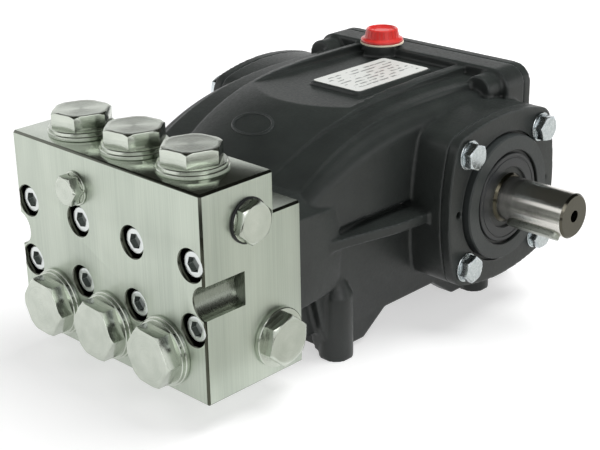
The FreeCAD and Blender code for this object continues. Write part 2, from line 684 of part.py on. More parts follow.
def make_cover_bolts(label, side):
    length = named("cover_flange") + named("bolt_bite")
    bolts = []
    for k, (y, z) in enumerate(bolt_spots()):
        turn = as_size(BOLT_TURNS[k])
        bolt = make_bolt(named("bolt_radius"), named("bolt_flats"), named("bolt_head_height"),
                         named("bolt_washer_radius"), named("bolt_washer_height"), length, turn)
        bolts.append(move_to(bolt, named("cover_face") * side, y, z, TO_RIGHT if side > 0 else TO_LEFT))
    return joined(label, bolts)


# How the case's sections are spread along it, and how fast its nose falls towards the head block
CASE_SHARES = (0, 0.12, 0.26, 0.42, 0.6, 0.8, 1)
NOSE_CURVE = 3.7


def loft(body, sections):
    feature = body.newObject("PartDesign::AdditiveLoft", "loft")
    feature.Profile = sections[0]
    feature.Sections = sections[1:]
    feature.Ruled = False
    doc.recompute()
    return body


def nose_fall(share):
    """How much of the nose's drop is left at a share of the way back from the head block."""
    return (1 - share) ** NOSE_CURVE


def case_level(share):
    return joint_y + (flange_y - joint_y) * share


def deck_edge(share):
    return named("deck_height") - named("nose_drop") * nose_fall(share)


def shoulder_edge(share):
    return deck_edge(share) - named("shoulder_drop") - named("shoulder_fall") * share


def make_hump(label, edge_height, half_width, taper, crown, nose_crown):
    """Crowned top of the crankcase: sections along Y whose height falls to the head block."""
    body = new_body(label)
    sections = []
    for share in CASE_SHARES:
        sketch = new_sketch(body, "XZ_Plane", -case_level(share))
        add_arch_section(sketch, half_width - taper * nose_fall(share), named("hump_root"),
                         edge_height(share), crown + nose_crown * (1 - share))
        sections.append(sketch)
    return loft(body, sections)


def make_side_panel(label, side):
    """Swollen upper side of the case, rounded at its top into the shoulder."""
    body = new_body(label)
    root = named("panel_root")
    low = named("panel_bottom")
    brow_half = named("panel_brow_half")
    sections = []
    for share in CASE_SHARES:
        slimmer = named("panel_taper") * (1 - share)
        low_half = named("panel_low_half") - slimmer
        high_half = named("panel_high_half") - slimmer
        brow = shoulder_edge(share) - named("panel_brow_drop") - named("panel_brow_fall") * share
        top = brow - named("panel_brow") - named("panel_brow_growth") * share
        sketch = new_sketch(body, "XZ_Plane", -case_level(share))
        corners = [(high_half, top), (low_half, low), (root, low), (root, brow), (brow_half, brow)]
        add_browed_section(sketch, [(x * side, z) for x, z in corners])
        sections.append(sketch)
    return loft(body, sections)


def make_sill(label, side):
    """Lower side of the case, drafted towards the feet."""
    body = new_body(label)
    root = named("panel_root")
    sketch = new_sketch(body, "XZ_Plane", -joint_y)
    corners = [(root, named("case_bottom")), (named("sill_low_half"), named("case_bottom")),
               (named("sill_top_half"), named("sill_top")), (root, named("sill_top"))]
    add_polygon(sketch, [(x * side, z) for x, z in corners])
    pad(body, sketch, flange_y - joint_y, backwards=True)
    outside = named("sill_top_half") + named("sill_notch_runout")
    notch = new_sketch(body, "YZ_Plane", outside * side)
    low = named("case_bottom") - 1
    high = named("flange_bottom")
    add_polygon(notch, [(joint_y - 1, low), (-foot_y, low), (-foot_y, high), (joint_y - 1, high)])
    pocket(body, notch, outside - named("sill_notch_half"), backwards=(side < 0))
    return body


def make_front_flange():
    """Flange that the head block is screwed to, which narrows into the side walls."""
    body = new_body("front_flange")
    thickness = named("flange_thickness")
    wide = named("flange_half")
    drafted = wide - named("flange_draft")
    faded = drafted - named("flange_fade")
    sections = []
    for run, low_half, middle_half, high_half, top in (
            (as_size(0), wide, wide, wide, named("flange_top")),
            (thickness, drafted, drafted, drafted, named("flange_top") - named("flange_draft")),
            (thickness + named("flange_taper"), named("flange_low_half"), named("flange_middle_half"), faded,
             named("flange_top") - named("flange_fade"))):
        sketch = new_sketch(body, "XZ_Plane", -(joint_y + run))
        right = [(low_half, named("flange_bottom")), (middle_half, named("sill_top")), (high_half, top),
                 (high_half - named("flange_brow"), top + named("flange_slope"))]
        add_polygon(sketch, right + [(-x, z) for x, z in reversed(right)])
        sections.append(sketch)
    return loft(body, sections)


def make_rib(label, side):
    """Level rib that braces the bearing boss at the height of the shaft."""
    body = new_body(label)
    root = named("panel_root")
    front = joint_y + named("rib_front_run")
    low_half = named("rib_front_half")
    high_half = named("rib_rear_half")
    rear = shaft_y - named("cover_bulge")
    middle = (front + rear * 2) / 3
    sketch = new_sketch(body, "XY_Plane", named("sill_top"))
    corners = [(root, front), (low_half, front), (high_half - named("rib_waist"), middle), (high_half, rear),
               (high_half, shaft_y), (root, shaft_y)]
    add_polygon(sketch, [(x * side, y) for x, y in corners])
    pad(body, sketch, named("rib_thickness"))
    return body


def make_core():
    """Inner mass of the case, under the hump."""
    body = new_body("case_core")
    sketch = new_sketch(body, "YZ_Plane")
    bottom = named("case_bottom")
    add_polygon(sketch, [(joint_y, bottom), (flange_y, bottom), (flange_y, named("case_top")),
                         (shaft_y - named("cover_bulge"), named("case_top")),
                         (joint_y, named("case_nose_top"))])
    pad(body, sketch, (named("panel_brow_half") - named("core_cover")) * 2, both_ways=True)
    return body


def make_belt():
    """Band between the ribs and the upper panels, recessed behind its front end."""
    body = new_body("case_belt")
    overlap = named("belt_overlap")
    sketch = new_sketch(body, "XY_Plane", named("sill_top") - overlap)
    right = [(named("belt_front_half"), joint_y), (named("belt_front_half"), joint_y + named("belt_close")),
             (named("case_half_width"), joint_y + named("belt_open")), (named("case_half_width"), flange_y)]
    add_polygon(sketch, right + [(-x, y) for x, y in reversed(right)])
    pad(body, sketch, named("panel_bottom") - named("sill_top") + overlap * 2)
    return body


def make_skirt(label, side):
    """Side skirt that runs down to the feet, arched between them."""
    body = new_body(label)
    inner = named("skirt_inner")
    sketch = new_sketch(body, "YZ_Plane", inner * side)
    low = named("skirt_bottom")
    belly = named("case_bottom")
    top = named("skirt_top")
    start = named("arch_start")
    reach = start + named("arch_rise")
    toe = -foot_y - named("skirt_toe")
    rear = foot_y + named("foot_radius")
    add_polygon(sketch, [
        (toe, low), (start - foot_y, low), (reach - foot_y, belly), (foot_y - reach, belly),
        (foot_y - start, low), (rear + named("skirt_heel"), low),
        (rear + named("skirt_tail"), belly), (rear + named("skirt_tail"), top),
        (-foot_y - named("skirt_lean"), top)])
    pad(body, sketch, named("skirt_outer") - inner, backwards=(side < 0))
    return body


def make_cross_web():
    """Wall between the two front feet."""
    body = new_body("cross_web")
    half = named("web_thickness") / 2
    sketch = new_sketch(body, "YZ_Plane")
    low = named("skirt_bottom")
    top = named("skirt_top")
    add_polygon(sketch, [(-foot_y - half, low), (half - foot_y, low),
                         (half - foot_y, top), (-foot_y - half, top)])
    pad(body, sketch, named("foot_pitch_across"), both_ways=True)
    return body


def rounded_plate(label, level, thickness):
    """Rounded rectangle of the rear flange, raised from a plane square to Y."""
    body = new_body(label)
    sketch = new_sketch(body, "XZ_Plane", -level)
    half = named("rear_half_width")
    add_polygon(sketch, [(-half, named("rear_bottom")), (half, named("rear_bottom")),
                         (half, named("rear_top")), (-half, named("rear_top"))])
    plate = pad(body, sketch, thickness, backwards=True)
    fillet = body.newObject("PartDesign::Fillet", "corners")
    along = chosen_edges(plate.Shape, lambda e: e.BoundBox.YLength > thickness.value / 2)
    fillet.Base = (plate, along)
    bind(fillet, "Radius", named("rear_corner_radius"))
    doc.recompute()
    return body


def rear_bolt_spots():
    half = named("rear_half_width") - named("rear_bolt_inset")
    top = named("rear_top") - named("rear_bolt_inset")
    low = named("rear_bottom") + named("rear_bolt_inset")
    middle = (top + low) / 2
    return [(half * a, z) for a in (-1, 0, 1) for z in (top, low)] + [(half * a, middle) for a in (-1, 1)]


# Where the rear lugs lie, in from the flange's side and down from its top, in their own radii
LUG_SIDE_SHARE = 1.4
LUG_FALL_SHARE = 1.2


def make_crankcase():
    """Cast housing that carries the head block, the shaft, both covers and the feet."""
    solids = [make_core(), make_belt(), make_front_flange(), make_cross_web(),
              make_hump("deck", deck_edge, named("deck_half_width"), named("nose_taper"),
                        named("deck_crown"), named("nose_crown")),
              make_hump("shoulder", shoulder_edge, named("shoulder_half_width"), as_size(0),
                        named("shoulder_crown"), as_size(0)),
              rounded_plate("rear_flange", flange_y, named("rear_flange"))]
    cuts = []
    for side, name in ((-1, "left"), (1, "right")):
        solids.append(make_side_panel(name + "_panel", side))
        solids.append(make_sill(name + "_sill", side))
        solids.append(make_rib(name + "_rib", side))
        solids.append(make_skirt(name + "_skirt", side))
        boss = new_body(name + "_boss")
        outline = new_sketch(boss, "YZ_Plane", named("boss_root") * side)
        add_pillow(outline, shaft_y, shaft_z)
        pad(boss, outline, boss_face - named("boss_root"), backwards=(side < 0))
        solids.append(boss)
        toward = TO_LEFT if side > 0 else TO_RIGHT
        depth = named("bolt_bite") + named("tap_runout")
        for y, z in bolt_spots():
            cuts.append(add_cylinder(named("bolt_radius") + named("bolt_thread_gap"), depth,
                                     boss_face * side, y, z, toward))
        for end in (-1, 1):
            column = named("foot_column_top") if end < 0 else named("skirt_top")
            solids.append(add_cylinder(named("foot_radius"), column, foot_x * side, foot_y * end, 0))
            cuts.append(add_cylinder(named("foot_tap_radius"), named("foot_tap_depth"),
                                     foot_x * side, foot_y * end, 0))
        cone = doc.addObject("Part::Cone", "column_top")
        bind(cone, "Radius1", named("foot_radius"))
        bind(cone, "Radius2", named("foot_tip_radius"))
        bind(cone, "Height", named("foot_cone_height"))
        solids.append(move_to(cone, foot_x * side, -foot_y, named("foot_column_top")))
        lug_x = (named("rear_half_width") - named("lug_radius") * LUG_SIDE_SHARE) * side
        for z in (named("rear_top"), named("rear_bottom") + named("lug_radius") * 2):
            solids.append(add_cylinder(named("lug_radius"), named("lug_length"), lug_x, flange_y,
                                       z - named("lug_radius") * LUG_FALL_SHARE, TO_FRONT))
    filler = add_cylinder(named("filler_boss_radius"), named("filler_boss_height"),
                          -named("filler_offset"), filler_y, named("pocket_floor"))
    pad_x = named("plate_offset") - named("plate_width") / 2 - named("plate_pad_margin")
    pad_end = flange_y - named("plate_rear_gap") + named("plate_pad_margin")
    plate_pad = add_box(pad_x, pad_x + named("plate_width") + named("plate_pad_margin") * 2,
                        pad_end - named("plate_length") - named("plate_pad_margin") * 2, pad_end,
                        named("pocket_floor"), named("pocket_floor") + named("plate_pad_height"))
    deck_pocket = add_box(-named("pocket_half_width"), named("pocket_half_width"),
                          flange_y - named("pocket_length"), flange_y - named("pocket_end_wall"),
                          named("pocket_floor"), named("deck_height") + named("cut_runout"))
    casting = joined("casting", solids)
    hollowed = cut_from("sunk_deck", casting, [deck_pocket])
    topped = joined("dressed_casting", [hollowed, filler, plate_pad])
    bite = named("filler_bore_bite")
    cuts.append(add_cylinder(named("filler_bore_radius"), named("filler_boss_height") + bite,
                             -named("filler_offset"), filler_y, named("pocket_floor") - bite))
    cuts.append(add_cylinder(named("journal_radius") + named("running_gap"),
                             boss_face + named("journal_far_end") + 1,
                             -named("journal_far_end") - 1, shaft_y, shaft_z, TO_RIGHT))
    for x in screw_columns:
        for z in screw_rows:
            cuts.append(add_cylinder(named("screw_radius") + named("bolt_thread_gap"),
                                     named("screw_bite") + named("hole_runout"), x, joint_y, z, TO_REAR))
    for x, z in rear_bolt_spots():
        cuts.append(add_cylinder(named("rear_bolt_radius") + named("bolt_thread_gap"),
                                 named("rear_bolt_bite") + named("hole_runout"),
                                 x, rear_joint_y, z, TO_FRONT))
    joint_half = named("rear_half_width") + 0.5
    cuts.append(add_box(-joint_half, joint_half, rear_joint_y, rear_joint_y + 10,
                        named("rear_bottom") - 1, named("rear_top") + 1))
    return cut_from("crankcase", topped, cuts)


def make_rear_cover():
    """Flat cover on the rear flange, bored for its bolts, the sight glass and the drain."""
    plate = rounded_plate("rear_plate", rear_joint_y, named("rear_cover_thickness"))
    holes = [add_cylinder(named("rear_bolt_radius") + named("bolt_hole_gap"),
                          named("rear_cover_thickness") + named("hole_runout"),
                          x, rear_y + named("hole_runout") / 2, z, TO_FRONT)
             for x, z in rear_bolt_spots()]
    holes.append(add_cylinder(named("glass_radius") + named("seat_gap"), named("rear_cover_thickness") / 2,
                              0, rear_y, named("glass_height"), TO_FRONT))
    holes.append(add_cylinder(named("drain_radius") + named("seat_gap"),
                              named("rear_cover_thickness") + named("hole_runout"), named("drain_offset"),
                              rear_y + named("hole_runout") / 2, named("drain_height"), TO_FRONT))
    return cut_from("rear_cover", plate, holes)


def make_rear_fittings():
    bolts = []
    for x, z in rear_bolt_spots():
        bolt = make_bolt(named("rear_bolt_radius"), named("rear_bolt_flats"), named("rear_bolt_head"),
                         named("rear_bolt_flats") / 2 * BOLT_WASHER_SHARE, named("rear_bolt_washer_height"),
                         named("rear_cover_thickness") + named("rear_bolt_bite"), named("rear_bolt_turn"))
        bolts.append(move_to(bolt, x, rear_y, z, TO_REAR))
    rear_bolts = joined("rear_cover_bolts", bolts)
    depth = named("rear_cover_thickness") / 2
    radius = named("glass_radius")
    rim = radius + named("glass_rim")
    height = named("glass_rim_height")
    window = radius - named("glass_step")
    sunk = height - named("glass_sunk")
    glass = turned("oil_sight_glass", [(0, -depth), (radius, -depth), (radius, 0), (rim, 0), (rim, height),
                                       (window, height), (window - named("cap_edge"), sunk), (0, sunk)])
    move_to(glass, 0, rear_y, named("glass_height"), TO_REAR)
    drain = hex_plug("drain_plug", named("drain_flats"), named("drain_head_height"),
                     named("drain_collar_radius"), named("drain_collar_height"), named("drain_radius"),
                     named("rear_cover_thickness"), as_size(0))
    move_to(drain, named("drain_offset"), rear_y, named("drain_height"), TO_REAR)
    return [rear_bolts, glass, drain]


# Upright part of the filler cap's brim, as a share of the brim's height
CAP_BRIM_SHARE = 0.4


def make_deck_fittings():
    """Oil filler cap with its gasket, and the rating plate."""
    bore = named("filler_bore_radius")
    gasket = turned("oil_cap_gasket", [(bore, 0), (named("gasket_radius"), 0),
                                       (named("gasket_radius"), named("gasket_thickness")),
                                       (bore, named("gasket_thickness"))])
    move_to(gasket, -named("filler_offset"), filler_y, filler_z)
    skirt = named("cap_skirt_height")
    top = skirt + named("cap_top_height")
    stem = bore - named("seat_gap") * 2
    dish = top - named("cap_dish_depth")
    root = named("cap_root_radius")
    edge = named("cap_edge")
    cap = turned("oil_filler_cap", [
        (0, -named("cap_stem_length")), (stem, -named("cap_stem_length")), (stem, 0),
        (named("cap_skirt_radius"), 0), (named("cap_skirt_radius"), skirt * CAP_BRIM_SHARE),
        (root + edge, skirt), (root, skirt + edge), (named("cap_top_radius"), top),
        (named("cap_dish_radius"), top), (named("cap_dish_radius") - edge, dish), (0, dish)])
    move_to(cap, -named("filler_offset"), filler_y, filler_z + named("gasket_thickness"))
    plate_x = named("plate_offset") - named("plate_width") / 2
    plate_end = flange_y - named("plate_rear_gap")
    base = named("pocket_floor") + named("plate_pad_height")
    plate = add_box(plate_x, plate_x + named("plate_width"), plate_end - named("plate_length"), plate_end,
                    base, base + named("plate_thickness"))
    plate.Label = "nameplate"
    return [gasket, cap, plate]


def make_pump():
    pieces = [make_crankcase(), make_head_block()]
    pieces += make_block_fittings()
    pieces += [make_shaft(), key_solid("shaft_key", as_size(0)), make_seal(), make_blank_cap()]
    for side, name in ((-1, "left"), (1, "right")):
        pieces.append(make_bearing_cover(name + "_bearing_cover", side))
        pieces.append(make_cover_bolts(name + "_cover_bolts", side))
    pieces.append(make_rear_cover())
    pieces += make_rear_fittings()
    pieces += make_deck_fittings()
    return pieces


def check_and_write(pieces):
    doc.recompute()
    for thing in doc.Objects:
        if "Invalid" in thing.State or "Error" in thing.State:
            raise RuntimeError("%s failed: %s" % (thing.Label, thing.State))
    for piece in pieces:
        if piece.Shape.isNull() or not piece.Shape.isValid() or not piece.Shape.Solids:
            raise RuntimeError("%s has no valid solid" % piece.Label)
    os.makedirs("parts", exist_ok=True)
    for piece in pieces:
        box = piece.Shape.BoundBox
        print("%-22s solids %d volume %10.0f  x %7.1f %7.1f  y %7.1f %7.1f  z %7.1f %7.1f" % (
            piece.Label, len(piece.Shape.Solids), piece.Shape.Volume,
            box.XMin, box.XMax, box.YMin, box.YMax, box.ZMin, box.ZMax))
        piece.Shape.exportStep(os.path.join("parts", piece.Label + ".step"))


check_and_write(make_pump())
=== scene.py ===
import math

import bpy
from mathutils import Matrix, Vector


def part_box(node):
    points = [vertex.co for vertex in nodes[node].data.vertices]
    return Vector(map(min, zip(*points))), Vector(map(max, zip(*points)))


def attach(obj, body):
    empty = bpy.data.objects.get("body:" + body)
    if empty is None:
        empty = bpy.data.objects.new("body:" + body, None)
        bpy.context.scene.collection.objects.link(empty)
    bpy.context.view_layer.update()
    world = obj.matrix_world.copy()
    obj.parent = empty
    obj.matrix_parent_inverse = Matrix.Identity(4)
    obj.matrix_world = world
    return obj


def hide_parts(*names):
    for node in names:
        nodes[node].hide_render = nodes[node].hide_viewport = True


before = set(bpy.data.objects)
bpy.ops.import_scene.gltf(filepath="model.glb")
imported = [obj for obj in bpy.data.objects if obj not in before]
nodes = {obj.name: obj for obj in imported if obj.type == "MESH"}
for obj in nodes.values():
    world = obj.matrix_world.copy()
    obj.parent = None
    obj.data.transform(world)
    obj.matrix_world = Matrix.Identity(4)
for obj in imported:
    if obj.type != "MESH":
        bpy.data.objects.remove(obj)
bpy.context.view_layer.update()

# Places are in metres, as in the frame, and the sizes that the helpers below take are in mm
MM = 0.001
NEAR = 0.01 * MM
head_screw_nodes = ["head_bolt_%d" % number for number in range(1, 9)]

# Turns that make a piece modelled upright, along +Z, face each way
FACING = {
    "+Z": Matrix.Identity(4),
    "+X": Matrix.Rotation(math.radians(90), 4, "Y"),
    "-X": Matrix.Rotation(math.radians(-90), 4, "Y"),
    "-Y": Matrix.Rotation(math.radians(90), 4, "X"),
    "+Y": Matrix.Rotation(math.radians(-90), 4, "X"),
}


# Places read from the frame

def middle(node):
    """Middle of a CAD node's box."""
    low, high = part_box(node)
    return (low + high) / 2


def tip(node, axis):
    """Middle of a CAD node's outermost face along a signed axis such as +X."""
    low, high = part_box(node)
    spot = (low + high) / 2
    index = "XYZ".index(axis[1])
    spot[index] = high[index] if axis[0] == "+" else low[index]
    return spot


# The crankshaft's axis runs along X through this point
shaft_axis = middle("shaft_seal")
shaft_axis.x = 0


# Small helpers for modelling

def deselect():
    """Goes back to object mode with nothing selected."""
    if bpy.context.object and bpy.context.object.mode != "OBJECT":
        bpy.ops.object.mode_set(mode="OBJECT")
    bpy.ops.object.select_all(action="DESELECT")


def active(piece):
    """Makes one piece the only selected and active one."""
    deselect()
    piece.select_set(True)
    bpy.context.view_layer.objects.active = piece
    return piece


def started(name):
    """Names the piece that an operator has just made."""
    piece = bpy.context.object
    piece.name = name
    piece.data.name = name
    return piece


def edit_all(piece):
    """Opens a piece in edit mode with all of its mesh selected."""
    active(piece)
    bpy.ops.object.mode_set(mode="EDIT")
    bpy.ops.mesh.select_all(action="SELECT")


def close_edit():
    """Leaves edit mode."""
    bpy.ops.object.mode_set(mode="OBJECT")


def pick(piece, faces=None, edges=None):
    """Opens a piece in edit mode with only the faces, or the edges, that pass a test selected."""
    active(piece)
    mesh = piece.data
    for part in (mesh.vertices, mesh.edges, mesh.polygons):
        part.foreach_set("select", [False] * len(part))
    bpy.ops.object.mode_set(mode="EDIT")
    bpy.ops.mesh.select_mode(type="FACE" if faces else "EDGE")
    bpy.ops.object.mode_set(mode="OBJECT")
    if faces:
        for face in mesh.polygons:
            face.select = bool(faces(face))
    if edges:
        for edge in mesh.edges:
            ends = [mesh.vertices[v].co for v in edge.vertices]
            edge.select = bool(edges(*ends))
    bpy.ops.object.mode_set(mode="EDIT")


def modify(piece, kind, **settings):
    """Adds one modifier and applies it."""
    active(piece)
    change = piece.modifiers.new(kind.title(), kind)
    for key, value in settings.items():
        setattr(change, key, value)
    bpy.ops.object.modifier_apply(modifier=change.name)
    return piece


def break_edges(piece, width, angle):
    """Rounds the edges that are sharper than an angle, by a width in mm."""
    return modify(piece, "BEVEL", width=width * MM, segments=2, limit_method="ANGLE",
                  angle_limit=math.radians(angle), use_clamp_overlap=True)


def smooth(piece, angle):
    """Shades a piece smooth, apart from edges that are sharper than an angle."""
    active(piece)
    bpy.ops.object.shade_smooth_by_angle(angle=math.radians(angle))
    return piece


def cut(piece, tool, operation="DIFFERENCE"):
    """Cuts a piece with a tool, which is used up."""
    modify(piece, "BOOLEAN", operation=operation, object=tool, solver="EXACT")
    bpy.data.objects.remove(tool)
    return piece


def merged(name, pieces):
    """Joins pieces into the first one."""
    active(pieces[0])
    for other in pieces[1:]:
        other.select_set(True)
    bpy.ops.object.join()
    return started(name)


def flatten(piece):
    """Makes one face of the triangles of each flat side."""
    edit_all(piece)
    bpy.ops.mesh.dissolve_limited(angle_limit=math.radians(2))
    close_edit()


def copy_of(piece, name):
    """A copy with a mesh of its own."""
    twin = piece.copy()
    twin.data = piece.data.copy()
    twin.name = name
    twin.data.name = name
    bpy.context.collection.objects.link(twin)
    return twin


def cad_copy(node, name):
    """A copy of a CAD node's mesh with its loose triangles merged."""
    piece = copy_of(nodes[node], name)
    piece.parent = None
    piece.matrix_world = Matrix.Identity(4)
    for key in list(piece.keys()):
        del piece[key]
    edit_all(piece)
    bpy.ops.mesh.remove_doubles(threshold=NEAR)
    bpy.ops.mesh.customdata_custom_splitnormals_clear()
    close_edit()
    return piece


def block_between(name, low, high):
    """A rectangular block between two corners."""
    deselect()
    bpy.ops.mesh.primitive_cube_add(size=1, location=(low + high) / 2)
    block = started(name)
    block.scale = high - low
    bpy.ops.object.transform_apply(location=True, rotation=False, scale=True)
    return block


def lathe(name, profile, sides=96):
    """Turns a closed shape: a disc pulled up and resized through pairs of radius and height in mm."""
    deselect()
    radius, height = profile[0]
    bpy.ops.mesh.primitive_circle_add(vertices=sides, radius=radius * MM, fill_type="NGON",
                                      location=(0, 0, height * MM))
    piece = started(name)
    bpy.ops.object.transform_apply(location=True)
    edit_all(piece)
    for new_radius, new_height in profile[1:]:
        rise = (new_height - height) * MM
        bpy.ops.mesh.extrude_region_move(TRANSFORM_OT_translate={"value": (0, 0, rise)})
        share = new_radius / radius
        bpy.ops.transform.resize(value=(share, share, 1), center_override=(0, 0, new_height * MM))
        radius, height = new_radius, new_height
    bpy.ops.mesh.select_all(action="SELECT")
    bpy.ops.mesh.normals_make_consistent(inside=False)
    close_edit()
    return piece


def hexagon_bar(name, flats, low, high, turn):
    """Hexagonal bar between two heights in mm, with a corner at an angle from +X."""
    deselect()
    bpy.ops.mesh.primitive_cylinder_add(vertices=6, radius=flats / math.sqrt(3) * MM,
                                        depth=(high - low) * MM,
                                        location=(0, 0, (low + high) / 2 * MM),
                                        rotation=(0, 0, math.radians(turn - 30)))
    piece = started(name)
    bpy.ops.object.transform_apply(location=True, rotation=True)
    return piece


def move_mesh(piece, spot, axis):
    """Turns and moves the mesh itself from where it was modelled, upright at the origin."""
    piece.data.transform(Matrix.Translation(spot) @ FACING[axis])
    return piece


def mark_lathe(piece, spot, axis):
    """Stores the way each point went round on the lathe, and how far out and along it lies."""
    mesh = piece.data
    mesh.attributes.new("lathe_direction", "FLOAT_VECTOR", "POINT")
    mesh.attributes.new("lathe_run", "FLOAT", "POINT")
    arms = [vertex.co - spot for vertex in mesh.vertices]
    for arm, direction, run in zip(arms, mesh.attributes["lathe_direction"].data,
                                   mesh.attributes["lathe_run"].data):
        along = arm.dot(axis)
        out = arm - axis * along
        direction.vector = axis.cross(out).normalized() if out.length > NEAR else Vector((0, 0, 0))
        run.value = out.length + along


def outward(axis):
    """The way that a piece modelled upright points once it faces along a signed axis."""
    return FACING[axis].to_3x3() @ Vector((0, 0, 1))


def set_in_place(piece, spot, axis):
    """Turns and moves a turned piece's mesh, and marks it as it went round on the lathe."""
    move_mesh(piece, spot, axis)
    mark_lathe(piece, spot, outward(axis))


def seat(piece, node, axis, foot):
    """Sets a piece with its foot so many mm behind the outermost face of the node it stands for."""
    set_in_place(piece, tip(node, axis) - outward(axis) * foot * MM, axis)


def paint_shade(piece, amount, test):
    """Stores, for each face that passes a test, how strongly painted shade darkens its colour."""
    mesh = piece.data
    if "painted_shade" not in mesh.attributes:
        mesh.attributes.new("painted_shade", "FLOAT", "FACE")
    for face, store in zip(mesh.polygons, mesh.attributes["painted_shade"].data):
        if test(face):
            store.value = amount


def finished(piece, material, body, slot, *replaced):
    """Gives a piece its material and its body, and hides the CAD nodes it stands for; the slot is not used.
    """
    piece.data.materials.clear()
    piece.data.materials.append(material)
    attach(piece, body)
    if replaced:
        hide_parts(*replaced)


# Materials

def linear(code):
    """An sRGB hex colour as linear RGBA."""
    parts = [int(code[i:i + 2], 16) / 255 for i in (1, 3, 5)]
    return [c / 12.92 if c <= 0.04045 else ((c + 0.055) / 1.055) ** 2.4 for c in parts] + [1.0]


def add(tree, kind, feeds=None, values=None, stops=(), **settings):
    """Adds one node: its settings, the values of its sockets, what feeds them and any colour stops.

    A node that feeds another does so from its first output, unless one of its outputs is named.
    A Map Range node takes 1 to 2 as the range that comes in and 3 to 4 as the range that goes out.
    """
    node = tree.nodes.new(kind)
    for key, value in settings.items():
        setattr(node, key, value)
    for socket, value in (values or {}).items():
        node.inputs[socket].default_value = value
    for socket, source in (feeds or {}).items():
        output = source.outputs[0] if isinstance(source, bpy.types.Node) else source
        tree.links.new(output, node.inputs[socket])
    if stops:
        colours = node.color_ramp.elements
        while len(colours) < len(stops):
            colours.new(0.5)
        for colour, (spot, code) in zip(colours, stops):
            colour.position = spot
            colour.color = linear(code)
    return node


def bare_material(name):
    """A material with nothing in its node tree yet."""
    material = bpy.data.materials.new(name)
    material.use_nodes = True
    material.node_tree.nodes.clear()
    return material, material.node_tree


def patterned_material(name):
    """A bare material, with the place on the piece that its patterns follow."""
    material, tree = bare_material(name)
    place = add(tree, "ShaderNodeTexCoord")
    return material, tree, place.outputs["Object"]


def shade(tree, feeds, values):
    """Ends a material with its shader."""
    shader = add(tree, "ShaderNodeBsdfPrincipled", feeds, values)
    add(tree, "ShaderNodeOutputMaterial", {"Surface": shader})


def painted_shade_base(tree, base, code):
    """The base colour, going over to a darker one as painted shade on the faces that are marked for it."""
    shade_marks = add(tree, "ShaderNodeAttribute", attribute_name="painted_shade")
    mixed = add(tree, "ShaderNodeMix", {0: shade_marks.outputs["Fac"], 6: base}, {7: linear(code)},
                data_type="RGBA")
    return mixed.outputs[2]


def painted_casting():
    """Satin black enamel on sand-cast aluminium: a soft pebbled skin, with worn edges that carry a painted
    highlight, and painted shade in the inner corners.
    """
    material, tree, place = patterned_material("satin_black_enamel_on_cast_aluminium")
    # clouding 25 mm across, cast skin 2 mm and paint grain 0.7 mm, drawn coarse enough to show
    cloud = add(tree, "ShaderNodeTexNoise", {"Vector": place},
                {"Scale": 0.04 / MM, "Detail": 3, "Roughness": 0.6})
    skin = add(tree, "ShaderNodeTexNoise", {"Vector": place},
               {"Scale": 0.48 / MM, "Detail": 2, "Roughness": 0.5})
    grain = add(tree, "ShaderNodeTexNoise", {"Vector": place}, {"Scale": 1.4 / MM, "Detail": 1})
    base = add(tree, "ShaderNodeValToRGB", {0: cloud}, stops=[(0.3, "#282b2a"), (0.7, "#303432")])
    # paint rubbed thin on the outer edges, lightened further as a painted highlight
    edge = add(tree, "ShaderNodeNewGeometry").outputs["Pointiness"]
    worn_edge_and_highlight = add(tree, "ShaderNodeMapRange", {0: edge}, {1: 0.52, 2: 0.6, 3: 0, 4: 0.5})
    base = add(tree, "ShaderNodeMix", {0: worn_edge_and_highlight, 6: base}, {7: linear("#505556")}, data_type="RGBA")
    # painted shade: the inner corners darkened, as the shade that falls there
    corner = add(tree, "ShaderNodeMapRange", {0: edge}, {1: 0.42, 2: 0.49, 3: 0.85, 4: 0})
    base = add(tree, "ShaderNodeMix", {0: corner, 6: base.outputs[2]}, {7: linear("#0c0d0d")},
               data_type="RGBA")
    rough = add(tree, "ShaderNodeMapRange", {0: skin}, {1: 0.3, 2: 0.7, 3: 0.34, 4: 0.46})
    height = add(tree, "ShaderNodeMath", {0: skin, 1: grain}, operation="ADD")
    bump = add(tree, "ShaderNodeBump", {"Height": height}, {"Strength": 0.22, "Distance": 0.3 * MM})
    shade(tree, {"Base Color": base.outputs[2], "Roughness": rough, "Normal": bump},
          {"Specular IOR Level": 0.45})
    return material


